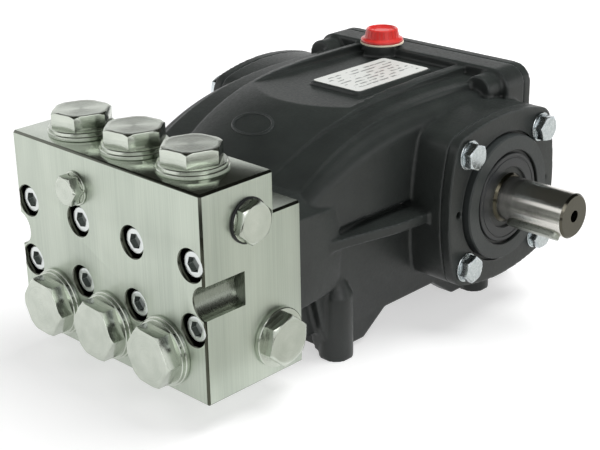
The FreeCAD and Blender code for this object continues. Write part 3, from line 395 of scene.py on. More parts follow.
def ground_stainless():
    """Surface-ground stainless steel: fine upright grinding lines under a cool, faintly green sheen."""
    material, tree, place = patterned_material("ground_stainless_steel")
    # grinding lines 0.8 mm apart and 125 mm long, drawn coarser than real ones
    lines_place = add(tree, "ShaderNodeMapping", {"Vector": place},
                      {"Scale": (1.25 / MM, 1.25 / MM, 0.008 / MM)})
    lines = add(tree, "ShaderNodeTexNoise", {"Vector": lines_place}, {"Scale": 1, "Detail": 3})
    # clouds 20 mm wide and 90 mm tall, left by uneven passes of the wheel
    haze_place = add(tree, "ShaderNodeMapping", {"Vector": place},
                     {"Scale": (0.05 / MM, 0.05 / MM, 0.011 / MM)})
    haze = add(tree, "ShaderNodeTexNoise", {"Vector": haze_place}, {"Scale": 1, "Detail": 2})
    blend = add(tree, "ShaderNodeMath", {0: lines, 1: haze}, operation="ADD")
    tone = add(tree, "ShaderNodeMapRange", {0: blend}, {1: 0.6, 2: 1.4, 3: 0, 4: 1})
    base = add(tree, "ShaderNodeValToRGB", {0: tone},
               stops=[(0.0, "#abb3a8"), (0.5, "#b9c1b5"), (1.0, "#c4cbbf")])
    # the milled top is smoother than the ground sides, and so are the faces darkened with painted shade
    facing = add(tree, "ShaderNodeNewGeometry")
    upward = add(tree, "ShaderNodeSeparateXYZ", {"Vector": facing.outputs["True Normal"]})
    milled = add(tree, "ShaderNodeMapRange", {0: upward.outputs["Z"]}, {1: 0.8, 2: 0.95, 3: 1.0, 4: 0.5})
    shade_marks = add(tree, "ShaderNodeAttribute", attribute_name="painted_shade")
    sleek = add(tree, "ShaderNodeMapRange", {0: shade_marks.outputs["Fac"]}, {1: 0, 2: 1, 3: 1.0, 4: 0.5})
    lined = add(tree, "ShaderNodeMapRange", {0: lines}, {1: 0.3, 2: 0.7, 3: 0.32, 4: 0.42})
    rough = add(tree, "ShaderNodeMath", {0: lined, 1: milled}, operation="MULTIPLY")
    rough = add(tree, "ShaderNodeMath", {0: rough, 1: sleek}, operation="MULTIPLY")
    bump = add(tree, "ShaderNodeBump", {"Height": lines}, {"Strength": 0.08, "Distance": 0.1 * MM})
    shade(tree, {"Base Color": painted_shade_base(tree, base, "#4b4d43"), "Roughness": rough, "Normal": bump},
          {"Metallic": 1.0})
    return material


def turned_metal(name, codes, shade_code, roughness, anisotropy, rings_per_mm, ring_depth):
    """Metal turned on a lathe: rings about the axis that spread highlights into wedges."""
    material, tree, place = patterned_material(name)
    run = add(tree, "ShaderNodeAttribute", attribute_name="lathe_run")
    rings = add(tree, "ShaderNodeTexNoise", {"W": run.outputs["Fac"]},
                {"Scale": rings_per_mm / MM, "Detail": 3, "Roughness": 0.7}, noise_dimensions="1D")
    # faint stains 11 mm across
    haze = add(tree, "ShaderNodeTexNoise", {"Vector": place}, {"Scale": 0.09 / MM, "Detail": 2})
    blend = add(tree, "ShaderNodeMath", {0: rings, 1: haze}, operation="ADD")
    tone = add(tree, "ShaderNodeMapRange", {0: blend}, {1: 0.6, 2: 1.4, 3: 0, 4: 1})
    base = add(tree, "ShaderNodeValToRGB", {0: tone}, stops=[(0.0, codes[0]), (1.0, codes[1])])
    rough = add(tree, "ShaderNodeMapRange", {0: blend},
                {1: 0.7, 2: 1.3, 3: roughness * 0.85, 4: roughness * 1.2})
    bump = add(tree, "ShaderNodeBump", {"Height": rings}, {"Strength": ring_depth, "Distance": 0.1 * MM})
    # highlights spread across the tool marks, square to the way the piece went round
    spin = add(tree, "ShaderNodeAttribute", attribute_name="lathe_direction")
    shade(tree, {"Base Color": painted_shade_base(tree, base, shade_code), "Roughness": rough, "Normal": bump,
                 "Tangent": spin.outputs["Vector"]},
          {"Metallic": 1.0, "Anisotropic": anisotropy, "Anisotropic Rotation": 0.25})
    return material


def plain_metal(name, codes, roughness, grains_per_mm, depth):
    """Cold-headed, drawn or plated metal with a fine uneven skin."""
    material, tree, place = patterned_material(name)
    skin = add(tree, "ShaderNodeTexNoise", {"Vector": place},
               {"Scale": grains_per_mm / MM, "Detail": 4, "Roughness": 0.6})
    base = add(tree, "ShaderNodeValToRGB", {0: skin}, stops=[(0.3, codes[0]), (0.7, codes[1])])
    rough = add(tree, "ShaderNodeMapRange", {0: skin},
                {1: 0.3, 2: 0.7, 3: roughness * 0.8, 4: roughness * 1.25})
    bump = add(tree, "ShaderNodeBump", {"Height": skin}, {"Strength": depth, "Distance": 0.2 * MM})
    shade(tree, {"Base Color": base, "Roughness": rough, "Normal": bump}, {"Metallic": 1.0})
    return material


def moulded(name, codes, roughness, coat, grains_per_mm, depth):
    """Moulded plastic or rubber with a fine skin from its mould."""
    material, tree, place = patterned_material(name)
    skin = add(tree, "ShaderNodeTexNoise", {"Vector": place}, {"Scale": grains_per_mm / MM, "Detail": 3})
    base = add(tree, "ShaderNodeValToRGB", {0: skin}, stops=[(0.3, codes[0]), (0.7, codes[1])])
    rough = add(tree, "ShaderNodeMapRange", {0: skin},
                {1: 0.3, 2: 0.7, 3: roughness * 0.85, 4: roughness * 1.15})
    bump = add(tree, "ShaderNodeBump", {"Height": skin}, {"Strength": depth, "Distance": 0.2 * MM})
    shade(tree, {"Base Color": base, "Roughness": rough, "Normal": bump},
          {"Coat Weight": coat, "Coat Roughness": 0.15})
    return material


def window_over_oil():
    """Clear polycarbonate window over amber oil: glossy, with the oil line half way up."""
    material, tree, place = patterned_material("polycarbonate_window_over_oil")
    level = middle("oil_sight_glass").z
    height = add(tree, "ShaderNodeSeparateXYZ", {"Vector": place})
    above = add(tree, "ShaderNodeMapRange", {0: height.outputs["Z"]},
                {1: level - 0.5 * MM, 2: level + 0.5 * MM, 3: 0, 4: 1})
    base = add(tree, "ShaderNodeValToRGB", {0: above}, stops=[(0.0, "#8a6a2c"), (1.0, "#c9cbc4")])
    shade(tree, {"Base Color": base}, {"Roughness": 0.08, "Coat Weight": 1.0})
    return material


def label_film():
    """Printed polyester film: off-white satin with plain grey rows, too small to read."""
    material, tree, place = patterned_material("printed_polyester_film")
    low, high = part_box("nameplate")
    centre = (low + high) / 2
    half = (high - low) / 2
    row_pitch = 5.2 * MM
    row_height = 1.8 * MM
    side_margin = 4 * MM
    end_margin = 5 * MM
    centred = add(tree, "ShaderNodeMapping", {"Vector": place}, {"Location": (-centre.x, -centre.y, 0)})
    parts = add(tree, "ShaderNodeSeparateXYZ", {"Vector": centred})
    # rows that run along the plate's long side
    row = add(tree, "ShaderNodeMath", {0: parts.outputs["X"]}, {1: row_pitch / 2, 2: -row_pitch / 2},
              operation="WRAP")
    inside = add(tree, "ShaderNodeMath", {0: row}, operation="ABSOLUTE")
    ink = add(tree, "ShaderNodeMath", {0: inside}, {1: row_height / 2}, operation="LESS_THAN")
    # broken into words about 7 mm long
    words = add(tree, "ShaderNodeMapping", {"Vector": centred}, {"Scale": (0.19 / MM, 0.13 / MM, 1)})
    broken = add(tree, "ShaderNodeTexNoise", {"Vector": words}, {"Scale": 1, "Detail": 2})
    shown = add(tree, "ShaderNodeMath", {0: broken}, {1: 0.5}, operation="GREATER_THAN")
    printed = add(tree, "ShaderNodeMath", {0: ink, 1: shown}, operation="MULTIPLY")
    for way, reach in (("X", half.x - side_margin), ("Y", half.y - end_margin)):
        off = add(tree, "ShaderNodeMath", {0: parts.outputs[way]}, operation="ABSOLUTE")
        near = add(tree, "ShaderNodeMath", {0: off}, {1: reach}, operation="LESS_THAN")
        printed = add(tree, "ShaderNodeMath", {0: printed, 1: near}, operation="MULTIPLY")
    base = add(tree, "ShaderNodeValToRGB", {0: printed}, stops=[(0.0, "#d4d6d2"), (1.0, "#7b7f7d")])
    shade(tree, {"Base Color": base}, {"Roughness": 0.35})
    return material


casting_paint = painted_casting()
stainless = ground_stainless()
# turned stainless steel: fine rings that draw the light out into bright wedges
turned_stainless = turned_metal("turned_stainless_steel", ("#b4bbb0", "#d0d5cb"), "#5a5c53",
                                roughness=0.2, anisotropy=0.75, rings_per_mm=1.8, ring_depth=0.12)
# ground shaft steel: evenly bright along its length, with marks too fine to see
ground_shaft = turned_metal("ground_shaft_steel", ("#dbd9d2", "#eceae4"), "#4d4a3f",
                            roughness=0.2, anisotropy=0.8, rings_per_mm=0.9, ring_depth=0.01)
# stainless screw heads: a soft bright rim round a socket darkened by painted shade
screw_steel = turned_metal("socket_screw_stainless", ("#cfd4d3", "#e2e6e4"), "#4f5751",
                           roughness=0.3, anisotropy=0.3, rings_per_mm=1.5, ring_depth=0.06)
# bright zinc plate: bluish white, with the unevenness of cold-headed bolts
zinc = plain_metal("bright_zinc_plate", ("#bcc4c8", "#dbe1e3"),
                   roughness=0.24, grains_per_mm=0.42, depth=0.12)
# bright drawn key steel: greyer and softer than the shaft round it
key_steel = plain_metal("bright_drawn_key_steel", ("#8b8f87", "#a6aaa1"),
                        roughness=0.32, grains_per_mm=0.7, depth=0.06)
# nitrile rubber: matt black
nitrile = moulded("nitrile_rubber", ("#17181a", "#202123"),
                  roughness=0.5, coat=0.0, grains_per_mm=0.9, depth=0.15)
# rubber that covers the seal's face: dark grey with a faint gloss
seal_face = moulded("rubber_covered_seal_face", ("#26282a", "#303234"),
                    roughness=0.42, coat=0.1, grains_per_mm=0.5, depth=0.15)
# moulded polyamide: strong red under a soft gloss
red_plastic = moulded("red_polyamide", ("#d22f2c", "#dc3a35"),
                      roughness=0.34, coat=0.5, grains_per_mm=0.3, depth=0.05)
# cream gasket rubber: pale and matt
cream_rubber = moulded("cream_rubber", ("#efe5cb", "#f7efdb"),
                       roughness=0.6, coat=0.0, grains_per_mm=0.9, depth=0.1)
window = window_over_oil()
film = label_film()


# Valve head

def screw_cutter(name, radius, depth, mouth):
    """A round cutter along +Z, in mm, whose mouth is coned from the surface at z = 0 downwards."""
    return lathe(name, [(radius, -depth), (radius, -mouth), (radius + mouth, 0),
                        (radius + mouth * 2, mouth)], sides=64)


def threaded_cutter(name, radius, depth, pitch):
    """A bore cutter, in mm, with the ridges of an internal thread."""
    root = radius + pitch * 0.25
    crest = radius - pitch * 0.3
    mouth = radius + 0.8
    profile = [(crest, -depth)]
    level = -depth
    while level < -pitch * 1.5:
        profile += [(root, level + pitch * 0.5), (crest, level + pitch)]
        level += pitch
    return lathe(name, profile + [(mouth, 0), (mouth, 2)], sides=64)


def valve_head():
    """Ground block with its milled step, chamfers, counterbores, side reliefs and open ports."""
    low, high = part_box("manifold")
    step_height = 26.8 * MM
    upper_depth = 60.5 * MM
    step_top = high.z - step_height
    upper_back = low.y + upper_depth
    block = block_between("valve_head_block", low, Vector((high.x, high.y, step_top)))
    edit_all(block)
    bpy.ops.mesh.bisect(plane_co=(0, upper_back, 0), plane_no=(0, 1, 0))
    pick(block, faces=lambda f: f.normal.z > 0.9 and f.center.y < upper_back)
    bpy.ops.mesh.extrude_region_move(TRANSFORM_OT_translate={"value": (0, 0, step_height)})

    def outer(a, b):
        """Tells the edges to chamfer from those on the joint, across a flat side and at the step's foot."""
        centre = (a + b) / 2
        flat_split = abs(centre.y - upper_back) < NEAR and centre.z < step_top + NEAR
        on_joint = abs(centre.y - high.y) < NEAR
        on_level = abs(centre.z - step_top) < NEAR and centre.y < upper_back + NEAR
        return not (flat_split or on_joint or on_level)

    pick(block, edges=outer)
    bpy.ops.mesh.bevel(offset=1.5 * MM, segments=1, affect="EDGES")
    close_edit()

    counterbore = 10.8
    relief = 11.5
    relief_level = low.z + 69.8 * MM
    relief_out = high.x + 1.5 * MM
    screws = [tip(node, "-Y") for node in head_screw_nodes]
    tools = []
    for screw in screws:
        tool = screw_cutter("counterbore_tool", counterbore, 14.7, 0.6)
        tools.append(move_mesh(tool, (screw.x, low.y, screw.z), "-Y"))
    for side in (-1, 1):
        tool = lathe("relief_tool", [(relief, -33.8), (relief, -0.7), (12.2, 0), (13, 1)])
        tools.append(move_mesh(tool, (side * relief_out, low.y, relief_level), "-Y"))
    for node, radius, depth, pitch in (("inlet_plug", 12.9, 20, 2.3), ("outlet_plug", 10.1, 18, 1.8)):
        port = tip(node, "+X")
        tool = threaded_cutter("port_tool", radius, depth, pitch)
        tools.append(move_mesh(tool, (low.x, port.y, port.z), "-X"))
    cut(block, merged("head_tools", tools))
    edit_all(block)
    bpy.ops.mesh.remove_doubles(threshold=0.001 * MM)
    close_edit()
    break_edges(block, 0.25, 30)
    smooth(block, 28)

    def chamfered(face):
        return sorted(abs(c) for c in face.normal)[1] > 0.5 and face.center.y < high.y - 1 * MM

    def counterbored(face):
        near = min((face.center - screw).xz.length for screw in screws)
        return near < (counterbore + 0.4) * MM and low.y + 0.5 * MM < face.center.y < low.y + 20 * MM

    def grooved(face):
        reach = math.hypot(abs(face.center.x) - relief_out, face.center.z - relief_level)
        inside = abs(face.center.x) < high.x - 2 * MM and face.center.y > low.y + 0.5 * MM
        return inside and reach < (relief + 0.3) * MM

    # painted shade darkens the chamfers, the side reliefs and the counterbores
    paint_shade(block, 0.85, chamfered)
    paint_shade(block, 0.5, grooved)
    paint_shade(block, 1.0, counterbored)
    finished(block, stainless, "pump", "stainless_block", "manifold")


def hexagon_cap(name, flats, collar, collar_height, head, turn, groove=True):
    """Screw plug seen from outside, in mm: a collar, sometimes grooved, under a coned hexagon head."""
    corner = flats / math.sqrt(3)
    top = collar_height + head
    edge = 0.5
    profile = [(collar - edge, 0), (collar, edge)]
    if groove:
        low = collar_height * 0.55
        profile += [(collar, low - edge), (collar - edge, low), (collar - edge * 2, low),
                    (collar - edge * 2, low + edge), (collar - edge * 2, collar_height - edge),
                    (collar - edge * 3, collar_height)]
    else:
        profile += [(collar, collar_height - edge), (collar - edge, collar_height)]
    base = lathe(name + "_collar", profile)
    # the round end face is wider than the flats on a grooved cap, and narrower on a small plug
    face = flats / 2 * (1.05 if groove else 0.94)
    sunk = top - 0.02
    cone = lathe(name + "_cone", [(corner + 1, collar_height - 0.5), (corner + 1, top - 2), (face, top),
                                  (face * 0.84, top), (face * 0.81, sunk), (face * 0.6, sunk),
                                  (face * 0.4, sunk), (face * 0.2, sunk), (face * 0.05, sunk)])
    bar = hexagon_bar(name + "_bar", flats, collar_height - 0.4, top + 1, turn)
    cut(bar, cone, "INTERSECT")
    break_edges(bar, 0.3, 20)
    return smooth(merged(name, [base, bar]), 25)


def head_fittings():
    """The valve head's six large caps, three small plugs and two washers."""
    collar_height = 5.6
    head = 10.4
    for kind, family, axis, turn in (("cap", "top_valve_cap_", "+Z", 9),
                                     ("plug", "front_valve_plug_", "-Y", -4)):
        model = hexagon_cap("valve_%s_model" % kind, 36, 23.1, collar_height, head, turn)
        for number in (1, 2, 3):
            cap = copy_of(model, "valve_%s_%d" % (kind, number))
            node = family + str(number)
            seat(cap, node, axis, collar_height + head)
            finished(cap, turned_stainless, "pump", "stainless_fitting", node)
        bpy.data.objects.remove(model)
    # flats, collar radius, collar height and head height, then the turn, and the foot behind the tip
    for name, node, axis, sizes, turn, foot in (
            ("gauge_port_plug", "gauge_plug", "-Y", (18.4, 10.1, 0.4, 7.4), 0, 5.8),
            ("delivery_port_plug", "outlet_plug", "+X", (25, 13.8, 0.4, 6.5), -13, 6.9),
            ("suction_port_plug", "inlet_plug", "+X", (30.5, 20, 3.5, 8), -12, 11.5)):
        plug = hexagon_cap(name, *sizes, turn, groove=False)
        seat(plug, node, axis, foot)
        finished(plug, turned_stainless, "pump", "stainless_fitting", node)
    thickness = 1.5
    edge = 0.3
    for node, axis, radius, skin in (("gauge_washer", "-Y", 11.6, turned_stainless),
                                     ("outlet_washer", "+X", 14.9, nitrile)):
        ring = lathe(node + "_steel", [(radius - edge, 0), (radius, edge), (radius, thickness - edge),
                                       (radius - edge, thickness)])
        seat(ring, node, axis, thickness)
        smooth(ring, 30)
        finished(ring, skin, "pump", "stainless_washer", node)


def socket_screws():
    """Socket heads in their counterbores: bright turned rims round hexagon sockets darkened with painted
    shade.
    """
    head = lathe("socket_screw_model", [(9, -12), (9, -0.9), (8.1, 0)], sides=64)
    cut(head, hexagon_bar("socket_tool", 9.4, -4.5, 1, 12))
    break_edges(head, 0.25, 40)
    smooth(head, 30)
    # painted shade inside the socket, and on the side of the head below its rim
    paint_shade(head, 0.6, lambda f: f.center.xy.length < 5.2 * MM and f.center.z < -0.3 * MM)
    paint_shade(head, 0.9, lambda f: f.center.xy.length > 8.7 * MM and f.center.z < -1.3 * MM)
    for number, node in enumerate(head_screw_nodes, 1):
        screw = copy_of(head, "head_screw_%d" % number)
        set_in_place(screw, tip(node, "-Y"), "-Y")
        finished(screw, screw_steel, "pump", "screw_steel", node)
    bpy.data.objects.remove(head)


# Crankcase and covers

def upright(a, b):
    """Tells whether an edge between two points stands upright."""
    return (a - b).xy.length < NEAR


def softened_casting(node, name, voxel, passes, tool=None):
    """A CAD casting whose edges and inner corners are rounded as a mould leaves them."""
    piece = cad_copy(node, name)
    if tool:
        cut(piece, tool)
    modify(piece, "REMESH", mode="VOXEL", voxel_size=voxel * MM, use_smooth_shade=True)
    modify(piece, "SMOOTH", factor=0.5, iterations=passes)
    active(piece)
    bpy.ops.object.shade_smooth()
    return piece


def journal_bore_tool():
    """Opens the crank's bore, so that the softened casting keeps clear of the turning journal."""
    journal = 18 * MM
    clearance = 1 * MM
    depth = 2 * abs(tip("crankshaft", "-X").x) + clearance
    deselect()
    bpy.ops.mesh.primitive_cylinder_add(vertices=96, radius=journal + clearance, depth=depth,
                                        location=shaft_axis, rotation=(0, math.radians(90), 0))
    tool = started("journal_bore_tool")
    bpy.ops.object.transform_apply(location=True, rotation=True)
    return tool


def pad_block(name, spare, height):
    """A block round the top of the label's pad, wider than the pad by a spare width in mm all round."""
    low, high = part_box("nameplate")
    pad_margin = 2
    below_label = 1.2
    reach = Vector((pad_margin + spare, pad_margin + spare, height / 2)) * MM
    level = low.z - below_label * MM
    low.z = level
    high.z = level
    return block_between(name, low - reach, high + reach)


def pad_corner_tool():
    """A thin frame round the label's pad, with rounded inner corners that take off those of the pad."""
    outside = pad_block("pad_frame", 0.4, 3)
    core = pad_block("pad_core", 0.02, 5)
    pick(core, edges=upright)
    bpy.ops.mesh.bevel(offset=4.5 * MM, segments=6, affect="EDGES")
    close_edit()
    return cut(outside, core)


def oval_boss(case):
    """Bare raised oval on the nose of the case, laid on the casting's own skin from above."""
    centre = Vector((0, -75.5 * MM, 200 * MM))
    half_width = 10 * MM
    rim_radius = 0.9 * MM
    length_by_width = 1.7
    deselect()
    bpy.ops.mesh.primitive_torus_add(location=centre, major_radius=half_width, minor_radius=rim_radius,
                                     major_segments=96, minor_segments=10)
    ring = started("oval_rim")
    edit_all(ring)
    bpy.ops.transform.resize(value=(length_by_width, 1, 1), center_override=centre)
    close_edit()
    bpy.ops.object.transform_apply(location=True, rotation=True, scale=True)
    for vertex in ring.data.vertices:
        rise = (vertex.co.z - centre.z) * 1.2
        skin = case.ray_cast(vertex.co, Vector((0, 0, -1)))[1]
        vertex.co.z = skin.z + rise
    smooth(ring, 60)
    finished(ring, casting_paint, "pump", "painted_casting")


def crankcase():
    """The cast case, softened, with the bore and the pad's corners cut, and the oval on its nose."""
    tools = merged("crankcase_tools", [journal_bore_tool(), pad_corner_tool()])
    case = softened_casting("crankcase", "crankcase_casting", 1.1, 2, tools)
    modify(case, "DECIMATE", ratio=0.42)
    bpy.ops.object.shade_smooth()
    finished(case, casting_paint, "pump", "painted_casting", "crankcase")
    oval_boss(case)


def bearing_covers():
    """Both bearing covers with their turned rings, and the closing plate at the rear."""
    for name, axis in (("right", "+X"), ("left", "-X")):
        node = name + "_bearing_cover"
        cover = softened_casting(node, name + "_cover_casting", 1.0, 2)
        finished(cover, casting_paint, "pump", "painted_casting", node)
        # relief turned round the raised ring, and the ring itself with the groove outside the seal
        relief = lathe(name + "_relief_tool", [(45.2, -7.2), (47.6, -7.2), (47.6, 2), (45.2, 2)], sides=128)
        cut(cover, move_mesh(relief, tip(node, axis), axis))
        smooth(cover, 40)
        ring = lathe(name + "_cover_ring", [(45.3, -7.1), (45.3, -0.9), (44.6, 0.15), (34.9, 0.15),
                                            (34.5, -0.3), (34.4, -2.4), (32.7, -2.4)], sides=128)
        smooth(ring, 30)
        set_in_place(ring, tip(node, axis), axis)
        finished(ring, casting_paint, "pump", "painted_casting")
    rear = softened_casting("rear_cover", "rear_cover_plate", 1.2, 3)
    finished(rear, casting_paint, "pump", "painted_casting", "rear_cover")


# Flat and spring washer under a hexagon bolt's head, in mm
WASHERS = 2.0


def hexagon_bolt(name, radius, flats, head, turn):
    """Hexagon bolt head, in mm, on its flat washer and split spring washer."""
    corner = flats / math.sqrt(3)
    top = WASHERS + head
    washer = lathe(name + "_washer", [(radius - 0.3, 0), (radius, 0.3), (radius, 1.1), (radius - 0.3, 1.4)],
                   sides=64)
    spring = lathe(name + "_spring", [(radius * 0.86, 1.3), (radius * 0.88, 1.5), (radius * 0.88, 1.9),
                                      (radius * 0.85, 2.1)], sides=64)
    cone = lathe(name + "_cone", [(corner + 1, 1.9), (corner + 1, top - 1.3), (flats / 2 * 0.93, top)],
                 sides=64)
    bar = hexagon_bar(name + "_bar", flats, WASHERS, top, turn)
    cut(bar, cone, "INTERSECT")
    break_edges(bar, 0.3, 20)
    return smooth(merged(name, [washer, spring, bar]), 25)


def bolts():
    """The bolts of the three covers, each set joined into one piece, and the oil drain plug."""
    half_pitch = 41.5 * MM
    head = 6.5
    for name, axis in (("right", "+X"), ("left", "-X")):
        node = name + "_cover_bolts"
        seat_x = (tip(node, axis) - outward(axis) * (WASHERS + head) * MM).x
        made = []
        for k, (a, b) in enumerate(((-1, 1), (1, 1), (1, -1), (-1, -1))):
            bolt = hexagon_bolt("%s_bolt_%d" % (name, k), 10.5, 17, head, 8 + 13 * k)
            spot = (seat_x, shaft_axis.y + half_pitch * a, shaft_axis.z + half_pitch * b)
            made.append(move_mesh(bolt, spot, axis))
        finished(merged(name + "_bolt_set", made), zinc, "pump", "zinc_steel", node)
    model = hexagon_bolt("rear_bolt_model", 8.8, 13, 5, 15)
    low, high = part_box("rear_cover")
    inset = 14 * MM
    spots = [(x, z) for x in (-1, 0, 1) for z in (low.z + inset, high.z - inset)]
    spots += [(x, (low.z + high.z) / 2) for x in (-1, 1)]
    made = []
    for x, z in spots:
        bolt = copy_of(model, "rear_bolt")
        made.append(move_mesh(bolt, ((high.x - inset) * x, high.y, z), "+Y"))
    bpy.data.objects.remove(model)
    finished(merged("rear_bolt_set", made), zinc, "pump", "zinc_steel", "rear_cover_bolts")
    drain = hexagon_cap("oil_drain_plug", 19, 13, 2, 7, 0, groove=False)
    seat(drain, "drain_plug", "+Y", 9)
    finished(drain, zinc, "pump", "zinc_steel", "drain_plug")


# Shaft end

def shaft_end():
    """The keyed drive shaft, its key, its seal, and the blank disc of the other cover."""
    shaft = cad_copy("crankshaft", "drive_shaft")
    smooth(shaft, 30)
    end = tip("crankshaft", "+X").x
    # painted shade: the sawn end face, the shoulder by the seal and the centre hole are painted darker than
    # the ground journal
    paint_shade(shaft, 0.95, lambda f: f.center.x > end - 1.8 * MM and f.normal.x > 0.3)
    paint_shade(shaft, 1.0, lambda f: f.center.x < end - 20 * MM and f.normal.x > 0.3)
    paint_shade(shaft, 0.95, lambda f: (f.center - shaft_axis).yz.length < 4.5 * MM
         and f.center.x > end - 20 * MM and f.normal.x < 0.9)
    mark_lathe(shaft, shaft_axis, outward("+X"))
    finished(shaft, ground_shaft, "shaft", "ground_steel", "crankshaft")
    key = cad_copy("shaft_key", "parallel_key")
    flatten(key)
    break_edges(key, 0.5, 40)
    smooth(key, 30)
    finished(key, key_steel, "shaft", "key_steel", "shaft_key")
    rim = [(32.3, -12.2), (32.3, -1), (31.8, -0.5)]
    seal = lathe("shaft_seal_ring", rim + [(29.6, -0.5), (29.3, -0.9), (28.7, -0.9), (28.4, -0.5),
                                           (22.6, -0.5), (22, -1.1), (21.6, -4.5), (19.4, -5.2),
                                           (18.2, -6.4)], sides=128)
    smooth(seal, 30)
    set_in_place(seal, tip("right_bearing_cover", "+X"), "+X")
    finished(seal, seal_face, "pump", "seal_rubber", "shaft_seal")
    blank = lathe("blank_bearing_cap", rim + [(22, -0.5), (21, -2), (6, -2), (5, -1.6)], sides=128)
    smooth(blank, 30)
    set_in_place(blank, tip("left_bearing_cover", "-X"), "-X")
    finished(blank, casting_paint, "pump", "painted_casting", "left_bearing_cap")


# Deck and oil fittings

def filler_cap():
    """Red filler cap with shallow flutes round its grip, on its gasket."""
    seat_spot = tip("oil_cap_gasket", "+Z")
    ring = lathe("filler_gasket", [(16.2, -1.5), (16.8, -1.2), (16.8, -0.3), (16.2, 0)])
    smooth(ring, 40)
    set_in_place(ring, seat_spot, "+Z")
    finished(ring, cream_rubber, "pump", "gasket_rubber", "oil_cap_gasket")
    sides = 96
    cap = lathe("filler_cap", [(15.9, 0), (16.4, 0.4), (16.5, 1.3), (16.1, 2.1), (15.2, 2.6), (13.9, 2.9),
                               (13.4, 3.5), (12.2, 9.3), (11.6, 9.9), (10.6, 10.1), (10, 9.7), (9.6, 8.7),
                               (6.6, 8.5), (6.2, 8.1), (5.8, 8.5)], sides)

    def fluted(face):
        """Every fourth column of faces on the grip."""
        on_grip = 3.7 * MM < face.center.z < 9.2 * MM and face.center.xy.length > 12 * MM
        angle = math.degrees(math.atan2(face.center.y, face.center.x))
        return on_grip and round(angle / (360 / sides) - 0.5) % 4 == 0

    pick(cap, faces=fluted)
    bpy.ops.mesh.inset(thickness=0.12 * MM, depth=-0.28 * MM, use_individual=True)
    close_edit()
    smooth(cap, 40)
    set_in_place(cap, seat_spot, "+Z")
    finished(cap, red_plastic, "pump", "cap_plastic", "oil_filler_cap")


def rating_plate():
    """The label's film, with rounded corners."""
    plate = cad_copy("nameplate", "rating_plate")
    flatten(plate)
    pick(plate, edges=upright)
    bpy.ops.mesh.bevel(offset=3 * MM, segments=6, affect="EDGES")
    close_edit()
    finished(plate, film, "pump", "plate_film", "nameplate")


def oil_window():
    """Round window in the rear cover."""
    glass = lathe("oil_window", [(18, 0), (18, 1.6), (17.6, 2), (13.4, 2), (12.6, 0.9), (11, 0.6), (5, 0.7)])
    smooth(glass, 30)
    seat(glass, "oil_sight_glass", "+Y", 2)
    finished(glass, window, "pump", "sight_glass", "oil_sight_glass")


valve_head()
head_fittings()
socket_screws()
crankcase()
bearing_covers()
bolts()
shaft_end()
filler_cap()
rating_plate()
oil_window()


# Studio

def light_path(tree):
    """1 for what the camera, a reflection or a clear piece sees, 0 for the light on the object."""
    path = add(tree, "ShaderNodeLightPath")
    first = add(tree, "ShaderNodeMath", {0: path.outputs["Is Camera Ray"], 1: path.outputs["Is Glossy Ray"]},
                operation="MAXIMUM")
    return add(tree, "ShaderNodeMath", {0: first, 1: path.outputs["Is Transmission Ray"]},
               operation="MAXIMUM")


def white_surroundings():
    """White all round, plain to the camera and in reflections, and weak as light on the object."""
    world = bpy.data.worlds.new("studio")
    bpy.context.scene.world = world
    world.use_nodes = True
    tree = world.node_tree
    tree.nodes.clear()
    as_light = 0.2
    as_seen = 1.0
    strength = add(tree, "ShaderNodeMapRange", {0: light_path(tree)}, {1: 0, 2: 1, 3: as_light, 4: as_seen})
    back = add(tree, "ShaderNodeBackground", {"Strength": strength}, {"Color": linear("#ffffff")})
    add(tree, "ShaderNodeOutputWorld", {"Surface": back})


def studio_floor():
    """Matt floor that keeps the shadow near the object and brightens to plain white further out."""
    shadow_edge = 0.42
    white_edge = 1.1
    near_glow = 0.56
    far_glow = 1.0
    deselect()
    bpy.ops.mesh.primitive_plane_add(size=24, location=(0, 0, 0))
    floor = started("studio_floor")
    material, tree = bare_material("matt_white_floor")
    matt = add(tree, "ShaderNodeBsdfDiffuse", values={"Color": linear("#cccccc")})
    place = add(tree, "ShaderNodeTexCoord")
    reach = add(tree, "ShaderNodeVectorMath", {0: place.outputs["Object"]}, operation="LENGTH")
    outwards = add(tree, "ShaderNodeMapRange", {0: reach.outputs["Value"]},
                   {1: shadow_edge, 2: white_edge, 3: near_glow, 4: far_glow})
    glow = add(tree, "ShaderNodeMath", {0: light_path(tree), 1: outwards}, operation="MULTIPLY")
    lift = add(tree, "ShaderNodeEmission", {"Strength": glow}, {"Color": linear("#ffffff")})
    both = add(tree, "ShaderNodeAddShader", {0: matt, 1: lift})
    add(tree, "ShaderNodeOutputMaterial", {"Surface": both})
    floor.data.materials.append(material)


def matt_material(name, code):
    """A matt material of one colour."""
    material, tree = bare_material(name)
    matt = add(tree, "ShaderNodeBsdfDiffuse", values={"Color": linear(code)})
    add(tree, "ShaderNodeOutputMaterial", {"Surface": matt})
    return material


def reflected_only(name, material):
    """Finishes the plane just made as a card that shows only in reflections."""
    flag = started(name)
    flag.data.materials.append(material)
    flag.visible_camera = False
    flag.visible_diffuse = False
    flag.visible_shadow = False
    flag.visible_transmission = False


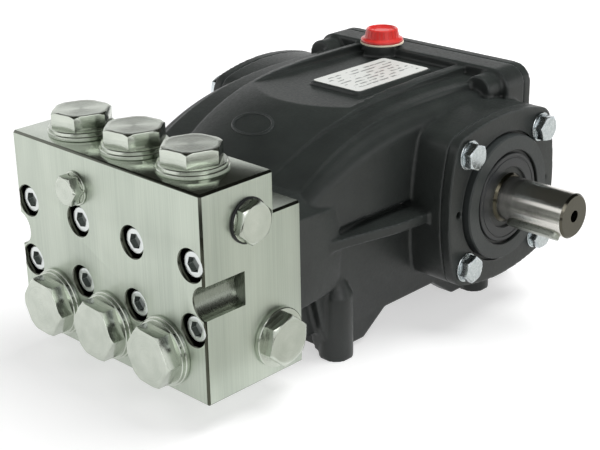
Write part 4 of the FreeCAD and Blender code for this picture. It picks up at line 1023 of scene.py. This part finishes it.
def cards():
    """Dark flags over the set and before the camera, and a pale card to the right, all for reflections."""
    black_cloth = matt_material("black_flag_cloth", "#5c5c56")
    deselect()
    bpy.ops.mesh.primitive_circle_add(vertices=64, radius=2.19, fill_type="NGON", location=(0.45, 0.85, 1.0))
    reflected_only("ceiling_flag", black_cloth)
    bpy.ops.mesh.primitive_plane_add(size=0.9, location=(0.64, -0.65, 0.002),
                                     rotation=(0, 0, math.radians(45)))
    reflected_only("front_flag", black_cloth)
    bpy.ops.mesh.primitive_plane_add(size=1.4, location=(0.84, 0.3, 0.001))
    reflected_only("side_card", matt_material("grey_card", "#e4e4e0"))


def lamps():
    """Round soft lamps aimed at the pump: only the fill shows in reflections."""
    aim = Vector((0, 0, 0.08))
    # place and width in metres, power in watts, and whether the lamp shows in reflections
    for name, spot, width, power, glints in (("key", (-0.5, -0.9, 1.3), 0.9, 3, False),
                                             ("overhead", (0.3, 0.4, 1.35), 1.1, 18, False),
                                             ("fill", (1.4, -0.3, 0.8), 0.8, 4, True)):
        lamp = bpy.data.lights.new(name, "AREA")
        lamp.shape = "DISK"
        lamp.size = width
        lamp.energy = power
        holder = bpy.data.objects.new(name, lamp)
        bpy.context.collection.objects.link(holder)
        holder.location = spot
        holder.visible_glossy = glints
        holder.rotation_euler = (aim - Vector(spot)).to_track_quat("-Z", "Y").to_euler()


def photo_camera():
    """The photograph's viewpoint: fitted to the valve head's straight edges."""
    turn = math.radians(44.416)
    rise = math.radians(22.179)
    roll = math.radians(-1.049)
    spot = Vector((0.656357, -0.700545, 0.443740))
    back = Vector((math.sin(turn) * math.cos(rise), -math.cos(turn) * math.cos(rise), math.sin(rise)))
    right = Vector((math.cos(turn), math.sin(turn), 0))
    up = back.cross(right)
    across = right * math.cos(roll) + up * math.sin(roll)
    along = up * math.cos(roll) - right * math.sin(roll)
    lens = bpy.data.cameras.new("photo_camera")
    lens.lens = 82.73
    lens.sensor_width = 36
    lens.clip_start = 0.01
    lens.clip_end = 60
    holder = bpy.data.objects.new("photo_camera", lens)
    bpy.context.collection.objects.link(holder)
    matrix = Matrix((across, along, back)).transposed().to_4x4()
    matrix.translation = spot
    holder.matrix_world = matrix
    bpy.context.scene.camera = holder


white_surroundings()
studio_floor()
cards()
lamps()
photo_camera()
bpy.context.scene.view_settings.view_transform = "Standard"
